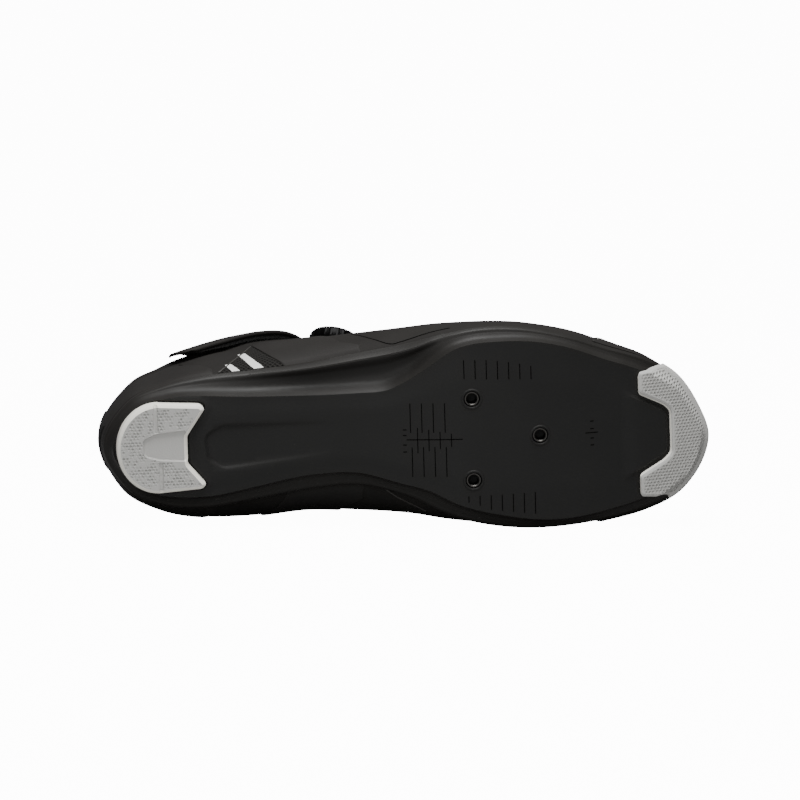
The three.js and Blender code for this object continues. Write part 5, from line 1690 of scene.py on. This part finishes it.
    def build(self) -> None:
        """Builds every piece of the upper."""
        self.build_shell()
        self.build_counter()
        self.build_quarters()
        self.build_toe_cap()
        self.build_insole()
        self.build_tongue()
        self.build_window()
        self.build_seams()
        self.build_stitches()


class ScatterTree:
    """Geometry Nodes tree that sets one small shape on many points of a mesh."""

    def __init__(self, name: str, *sizes: str) -> None:
        """Starts the tree with named inputs for its sizes.

        Args:
            name: Name of the tree.
            sizes: Names of the inputs that are numbers.
        """
        self.tree = bpy.data.node_groups.new(name, "GeometryNodeTree")
        kinds = {"Geometry": "NodeSocketGeometry", **dict.fromkeys(sizes, "NodeSocketFloat")}
        kinds["Finish"] = "NodeSocketMaterial"
        self.inputs = {
            key: self.tree.interface.new_socket(key, in_out="INPUT", socket_type=kind)
            for key, kind in kinds.items()
        }
        self.tree.interface.new_socket("Geometry", in_out="OUTPUT", socket_type="NodeSocketGeometry")
        self.nodes = Shader(self.tree)
        self.source = self.nodes.add("NodeGroupInput").outputs

    def set_out(self, points: bpy.types.NodeSocket, shape: bpy.types.NodeSocket, turn: bpy.types.NodeSocket,
                length: bpy.types.NodeSocket) -> None:
        """Sets the shape on the points, makes it real and gives it its material.

        Args:
            points: Points to set it on.
            shape: The shape, of size one.
            turn: Its rotation at each point.
            length: Its length along its own z.
        """
        radius = self.source["Radius"]
        scale = self.nodes.add("ShaderNodeCombineXYZ", {0: radius, 1: radius, 2: length}).outputs[0]
        inputs = {"Points": points, "Instance": shape, "Rotation": turn, "Scale": scale}
        made = self.nodes.add("GeometryNodeInstanceOnPoints", inputs).outputs[0]
        real = self.nodes.add("GeometryNodeRealizeInstances", {"Geometry": made}).outputs[0]
        inputs = {"Geometry": real, "Material": self.source["Finish"]}
        dressed = self.nodes.add("GeometryNodeSetMaterial", inputs).outputs[0]
        self.nodes.add("NodeGroupOutput", {"Geometry": dressed})


class RowTree(ScatterTree):
    """Stitches along a path."""

    def __init__(self) -> None:
        """Builds the tree."""
        super().__init__("StitchRow", "Spacing", "Length", "Radius")
        nodes, source = self.nodes, self.source
        curve = nodes.add("GeometryNodeMeshToCurve", {"Mesh": source["Geometry"]}).outputs[0]
        inputs = {"Curve": curve, "Length": source["Spacing"]}
        places = nodes.add("GeometryNodeResampleCurve", inputs, mode="LENGTH").outputs[0]
        tangent = nodes.add("GeometryNodeInputTangent").outputs[0]
        turn = nodes.add("FunctionNodeAlignRotationToVector", {"Vector": tangent}, axis="Z").outputs[0]
        bead = nodes.add("GeometryNodeMeshUVSphere", {"Segments": 6, "Rings": 5, "Radius": 1.0}).outputs[0]
        self.set_out(places, bead, turn, nodes.math("MULTIPLY", source["Length"], 0.5))


class PileTree(ScatterTree):
    """Short leaning fibres all over a surface."""

    def __init__(self) -> None:
        """Builds the tree."""
        super().__init__("PileFibres", "Density", "Length", "Radius")
        nodes, source = self.nodes, self.source
        inputs = {"Mesh": source["Geometry"], "Density": source["Density"], "Seed": 7}
        spread = nodes.add("GeometryNodeDistributePointsOnFaces", inputs).outputs
        inputs = {"Vertices": 4, "Radius Top": 0.2, "Radius Bottom": 1.0, "Depth": 1.0}
        fibre = nodes.add("GeometryNodeMeshCone", inputs).outputs[0]
        inputs = {0: (-0.7, -0.7, -3.0), 1: (0.7, 0.7, 3.0), "Seed": 11}
        lean = nodes.add("FunctionNodeRandomValue", inputs, data_type="FLOAT_VECTOR").outputs[0]
        euler = nodes.add("FunctionNodeEulerToRotation", {0: lean}).outputs[0]
        inputs = {"Rotation": spread["Rotation"], "Rotate By": euler}
        turn = nodes.add("FunctionNodeRotateRotation", inputs, rotation_space="LOCAL").outputs[0]
        self.set_out(spread["Points"], fibre, turn, source["Length"])


STITCH_ROW = RowTree()
PILE = PileTree()


def apply_tree(
    name: str, base: bpy.types.Mesh, tree: ScatterTree, values: dict[str, object],
) -> bpy.types.Object:
    """Runs a Geometry Nodes tree on a mesh and keeps the result as a plain object.

    Args:
        name: Name of the new piece.
        base: Mesh that the tree works on.
        tree: Object with the tree and its named inputs.
        values: Value of each input but the geometry.

    Returns:
        The new object.
    """
    carrier = bpy.data.objects.new(f"{name}_path", base)
    bpy.context.scene.collection.objects.link(carrier)
    modifier = carrier.modifiers.new("row", "NODES")
    modifier.node_group = tree.tree
    for key, value in values.items():
        modifier[tree.inputs[key].identifier] = value
    evaluated = carrier.evaluated_get(bpy.context.evaluated_depsgraph_get())
    mesh = bpy.data.meshes.new_from_object(evaluated)
    mesh.name = name
    bpy.data.objects.remove(carrier)
    piece = bpy.data.objects.new(name, mesh)
    bpy.context.scene.collection.objects.link(piece)
    return piece


def sew(
    name: str, path: Array, spacing: float, length: float, radius: float, look: bpy.types.Material,
) -> None:
    """Sets a row of stitches along a path.

    Args:
        name: Name of the row.
        path: Points of the path, in millimetres.
        spacing: Distance between stitches in millimetres.
        length: Length of a stitch in millimetres.
        radius: Radius of the thread in millimetres.
        look: Material of the thread.
    """
    base = bpy.data.meshes.new(name)
    base.from_pydata(LAID.place(path).tolist(), [(i, i + 1) for i in range(len(path) - 1)], [])
    values = {"Spacing": spacing / 1000, "Length": length / 1000, "Radius": radius / 1000, "Finish": look}
    settle(apply_tree(name, base, STITCH_ROW, values), "lace")


@dataclass
class Closure:
    """Instep strap, lace dial, lace and its guides."""

    strap_width: float = 23.0
    strap_thickness: float = 2.4
    strap_lift: float = 3.0
    strap_bend: float = 4.5
    edge_thinning: float = 0.35
    pile_depth: float = 1.3
    strap_lines: tuple[tuple[float, float], ...] = ((-0.33, 1.3), (-0.43, 1.9))
    dial_at: float = 0.404
    dial_across: float = -0.27
    dial_radius: float = 11.5
    dial_base_height: float = 2.6
    dial_knob_height: float = 5.6
    dial_ribs: int = 24
    dial_rib_depth: float = 0.18
    lace_radius: float = 0.7
    lace_lift: float = 0.6
    guide_run: float = 0.026
    guide_size: tuple[float, float, float] = (11.0, 6.0, 3.6)

    def strap_line(self, count: int) -> tuple[Array, Array, Array]:
        """Middle line of the strap's outer face, its way across and its way out."""
        seats = [
            LAST.seat(at, across, SIZES.gap + self.strap_thickness + lift * self.strap_lift)
            for at, across, lift in zip(*STRAP_PATH.values())
        ]
        shares = np.linspace(0, 1, count)
        line = catmull_rom(np.array([seat[0] for seat in seats]), shares)
        outs = catmull_rom(np.array([seat[3] for seat in seats]), shares)
        run = unit(np.gradient(line, axis=0))
        across = unit(np.cross(outs, run))
        return line, across, np.cross(run, across)

    def bend(self, share: Array, reach: Array) -> Array:
        """How far the half that faces the sole bends towards the shell."""
        along = smoothstep(share, 0.42, 0.56) * (1 - 0.75 * smoothstep(share, 0.86, 0.98))
        return self.strap_bend * along * np.clip(-2 * reach, 0, 1) ** 2

    def thinned(self, reach: Array) -> Array:
        """Share of its thickness that the strap keeps across its width."""
        return 1 - self.edge_thinning * np.clip(-2 * reach, 0, 1) ** 2

    def build_strap(self) -> None:
        """Builds the strap with its soft edges and its rounded end."""
        mesher = Mesher("instep_strap_band")
        count = 170
        line, across, out = self.strap_line(count)
        share = np.linspace(0, 1, count)
        tip = np.clip((share - 0.955) / 0.045, 0, 1)
        width = self.strap_width * np.sqrt(np.clip(1 - 0.985 * tip**2.6, 0.02, 1))
        reach = np.array([-0.5, -0.49, -0.465, -0.42, -0.3, -0.15, 0, 0.15, 0.3, 0.42, 0.465, 0.49, 0.5])
        drop = np.array([1.0, 0.5, 0.15, 0.03, 0, 0, 0, 0, 0, 0.03, 0.15, 0.5, 1.0])
        thickness = self.strap_thickness * (1 - 0.45 * smoothstep(share, 0.93, 0.955))
        level = line[:, None] + across[:, None] * (width[:, None] * reach)[..., None]
        level = level - out[:, None] * self.bend(share[:, None], reach)[..., None]
        thin = self.thinned(reach)
        outer = level - out[:, None] * (thickness[:, None] * drop * 0.5 * thin)[..., None]
        inner = level - out[:, None] * (thickness[:, None] * (1 - drop * 0.5) * thin)[..., None]
        mesher.shell(outer, inner)
        settle(mesher.finish([LOOKS.microfibre], 50), "microfibre", "instep_strap")
        pile = Mesher("strap_pile")
        part = slice(60, 158)
        reach = np.linspace(-0.46, 0.46, 12)
        depth = (thickness[part, None] * self.thinned(reach))[..., None]
        fade = (1 - 0.7 * smoothstep(share[part], 0.84, 0.93))[:, None, None]
        low = line[part, None] + across[part, None] * (width[part, None] * reach)[..., None]
        low = low - out[part, None] * self.bend(share[part, None], reach)[..., None]
        near = low - out[part, None] * (depth - 0.05)
        far = low - out[part, None] * (depth + self.pile_depth * fade)
        pile.shell(near, far)
        body = settle(pile.finish([LOOKS.tape], 50), "tab")
        values = {"Density": 9e5, "Length": 0.0013, "Radius": 7e-5, "Finish": LOOKS.tape}
        settle(apply_tree("strap_fibres", body.data.copy(), PILE, values), "tab")
        lines = Mesher("strap_lines")
        part = slice(94, 152)
        for at, wide in self.strap_lines:
            path = line[part] + across[part] * self.strap_width * at
            path = path - out[part] * self.bend(share[part], np.full(len(path), at))[:, None]
            lean = -8 * self.strap_bend * at / self.strap_width
            face = unit(out[part] - across[part] * lean)
            lines.shell(*ribbon(path, face, wide, 0.1))
        settle(lines.finish([LOOKS.stripe], 30), "lace")

    def build_dial(self) -> None:
        """Builds the dial's base and its ribbed knob."""
        point, ahead, across, out = LAST.seat(self.dial_at, self.dial_across, 0.0)
        axes = np.stack([ahead, across, out])
        top, foot = self.dial_radius + 1.0, self.dial_radius + 2.5
        base = Mesher("dial_base_gloss")
        height = self.dial_base_height
        radii = np.array([0, foot, foot, foot - 0.5, top + 0.3, top - 0.2, 0])
        revolve(base, point, axes, radii, np.array([-2.4, -2.4, 0.4, 1.2, height - 0.3, height, height]))
        settle(base.finish([LOOKS.gloss], 35), "dial", "dial_base")
        knob = Mesher("dial_knob_gloss")
        columns = self.dial_ribs * 10
        wave = 0.5 + 0.5 * np.cos(np.arange(columns) * math.tau / 10)
        rib = np.clip(wave * 1.5, 0, 1)[:, None] * self.dial_rib_depth
        rim = self.dial_radius
        inward = np.array([1.4, 0.4, 0, 0, 0.5, 1.3, 2.2, 3.0])
        radii = np.array([0, *(rim - inward), 4.0, 0])
        share = np.array([0, 0, 0.5, 1, 1, 1, 0.5, 0.1, 0, 0, 0])
        full = self.dial_knob_height
        down = np.array([1.3, 0.4, 0, 0, 0.5, 0.6, 0.6])
        heights = np.array([0, 0, 0.2, 0.7, *(full - down)])
        revolve(knob, point + out * (height + SIZES.gap), axes, radii - rib * share, heights)
        settle(knob.finish([LOOKS.gloss], 35), "dial", "dial_knob")

    def lace_path(self, count: int) -> tuple[Array, Array]:
        """Points along the lace, from the dial through the guides, and the way out at each."""
        stops = [(self.dial_at + 0.03, self.dial_across + 0.03)]
        run = self.guide_run
        for at, across in GUIDES.values():
            reach = across + math.copysign(0.012, across)
            stops += [(at - run, across * 0.86), (at - run / 2, reach), (at + run / 2, reach)]
            stops.append((at + run, across * 0.86))
        stops.pop()
        seats = []
        for i, (at, across) in enumerate(stops):
            after = stops[min(i + 1, len(stops) - 1)]
            parts = 5 if abs(after[1] - across) > 0.15 else 1
            for k in range(parts):
                share = k / parts
                place = at + (after[0] - at) * share, across + (after[1] - across) * share
                seats.append(LAST.seat(*place, SIZES.gap + self.lace_lift + self.lace_radius))
        shares = np.linspace(0, 1, count)
        path = catmull_rom(np.array([seat[0] for seat in seats]), shares)
        return path, unit(catmull_rom(np.array([seat[3] for seat in seats]), shares))

    def build_lace(self) -> None:
        """Builds the lace and the guides that it runs through."""
        mesher = Mesher("lace_cord")
        path, out = self.lace_path(420)
        tube(mesher, path, out, self.lace_radius)
        settle(mesher.finish([LOOKS.lace], 60), "lace", "lace")
        length, width, height = self.guide_size
        for name, (at, across) in GUIDES.items():
            guide = Mesher(f"{name}_gloss")
            point, ahead, sideways, up = LAST.seat(at, across, 0.0)
            turn = np.linspace(0, math.tau, 48, endpoint=False)[:, None]
            lean = np.linspace(-math.pi / 2, math.pi / 2, 25)[None, :]
            axis = [np.cos(lean) * np.cos(turn), np.cos(lean) * np.sin(turn), np.sin(lean) + 0 * turn]
            box = [np.sign(value) * np.abs(value) ** 0.32 for value in axis]
            points = point + sum(
                (value * size / 2)[..., None] * way
                for value, size, way in zip(box, (length, width, height * 2), (ahead, sideways, up))
            )
            guide.grid(points, closed=True)
            settle(guide.finish([LOOKS.gloss], 50), "dial", name)

    def build(self) -> None:
        """Builds every piece of the closure."""
        self.build_strap()
        self.build_dial()
        self.build_lace()


@dataclass
class Studio:
    """Camera, lights and floor."""

    tilt: float = 5.0
    fall: float = 12.0
    roll: float = 2.6
    distance: float = 6000.0
    lens: float = 615.6
    centre: tuple[float, float] = (128.95, 25.46)
    floor_glow: float = 13.0
    world_glow: float = 14.0
    world_light: float = 0.15

    def directions(self) -> tuple[Array, Array, Array]:
        """The camera's right, up and forward ways in the shoe's own frame."""
        lean, drop, roll = (math.radians(value) for value in (self.tilt, self.fall, self.roll))
        ahead = np.array([
            math.sin(lean), math.sin(drop) * math.cos(lean), math.cos(drop) * math.cos(lean),
        ])
        level = unit(np.array([1.0, 0, 0]) - ahead * ahead[0])
        rise = np.cross(level, ahead)
        rise = rise * -math.copysign(1, rise[1])
        right = math.cos(roll) * level - math.sin(roll) * rise
        up = math.sin(roll) * level + math.cos(roll) * rise
        return right, up, ahead

    def build_camera(self) -> None:
        """Places the camera at the photograph's angle to the shoe."""
        right, up, ahead = self.directions()
        target = right * self.centre[0] + up * self.centre[1] + ahead * 20
        place = LAID.place(target - ahead * self.distance)[0]
        data = bpy.data.cameras.new("photo_camera")
        data.lens = self.lens
        data.sensor_width = 36
        data.clip_end = 50
        camera = bpy.data.objects.new("photo_camera", data)
        axes = Matrix([LAID.way(right), LAID.way(up), -LAID.way(ahead)]).transposed()
        camera.matrix_world = Matrix.Translation(place) @ axes.to_4x4()
        bpy.context.scene.collection.objects.link(camera)
        bpy.context.scene.camera = camera

    @staticmethod
    def add_light(name: str, place: Sequence[float], size: float, power: float, aim: Sequence[float]) -> None:
        """Adds a soft square light.

        Args:
            name: Name of the light.
            place: Where it hangs, in metres.
            size: Its side in metres.
            power: Its power in watts.
            aim: The point that it faces.
        """
        data = bpy.data.lights.new(name, "AREA")
        data.size = size
        data.energy = power
        light = bpy.data.objects.new(name, data)
        light.location = place
        light.rotation_euler = (Vector(aim) - Vector(place)).to_track_quat("-Z", "Y").to_euler()
        bpy.context.scene.collection.objects.link(light)

    def build_stage(self) -> None:
        """Builds the floor and the pale world round it."""
        mesh = bpy.data.meshes.new("studio_floor")
        half = 8.0
        corners = [(-half, -half, 0), (half, -half, 0), (half, half, 0), (-half, half, 0)]
        mesh.from_pydata(corners, [], [(0, 1, 2, 3)])
        floor = bpy.data.objects.new("studio_floor", mesh)
        bpy.context.scene.collection.objects.link(floor)
        paper = Finish("studio_paper", (0.3, 0.3, 0.3), 0.9, wear=0.0, strength=0.02).build()
        shader = Shader(paper.node_tree)
        surface = paper.node_tree.nodes["Principled BSDF"]
        surface.inputs["Emission Color"].default_value = (1.0, 1.0, 1.0, 1.0)
        ray = shader.add("ShaderNodeLightPath").outputs["Is Camera Ray"]
        glow = shader.ramp(ray, 0.0, 1.0, 0.0, self.floor_glow)
        paper.node_tree.links.new(glow, surface.inputs["Emission Strength"])
        mesh.materials.append(paper)
        world = bpy.data.worlds.new("studio_world")
        world.use_nodes = True
        tree = world.node_tree
        tree.nodes.clear()
        shader = Shader(tree)
        ray = shader.add("ShaderNodeLightPath").outputs["Is Camera Ray"]
        strength = shader.ramp(ray, 0.0, 1.0, self.world_light, self.world_glow)
        back = shader.add("ShaderNodeBackground", {"Color": (0.96, 0.96, 0.96, 1), "Strength": strength})
        target = shader.add("ShaderNodeOutputWorld")
        tree.links.new(back.outputs[0], target.inputs["Surface"])
        bpy.context.scene.world = world

    def build(self) -> None:
        """Builds the whole studio."""
        self.build_camera()
        self.build_stage()
        self.add_light("key_above", (0.0, -0.25, 0.95), 0.7, 20, (0, 0, 0.05))
        self.add_light("fill_front", (-0.3, -1.3, 0.35), 0.9, 7, (0, 0, 0.05))


def main() -> None:
    """Builds the shoe and its studio."""
    Studio().build()
    for assembly in (Outsole(), Upper(), Closure()):
        assembly.build()
        log.info("built %s", type(assembly).__name__)


if __name__ == "__main__":
    logging.basicConfig(level=logging.INFO, format="%(message)s")
    main()
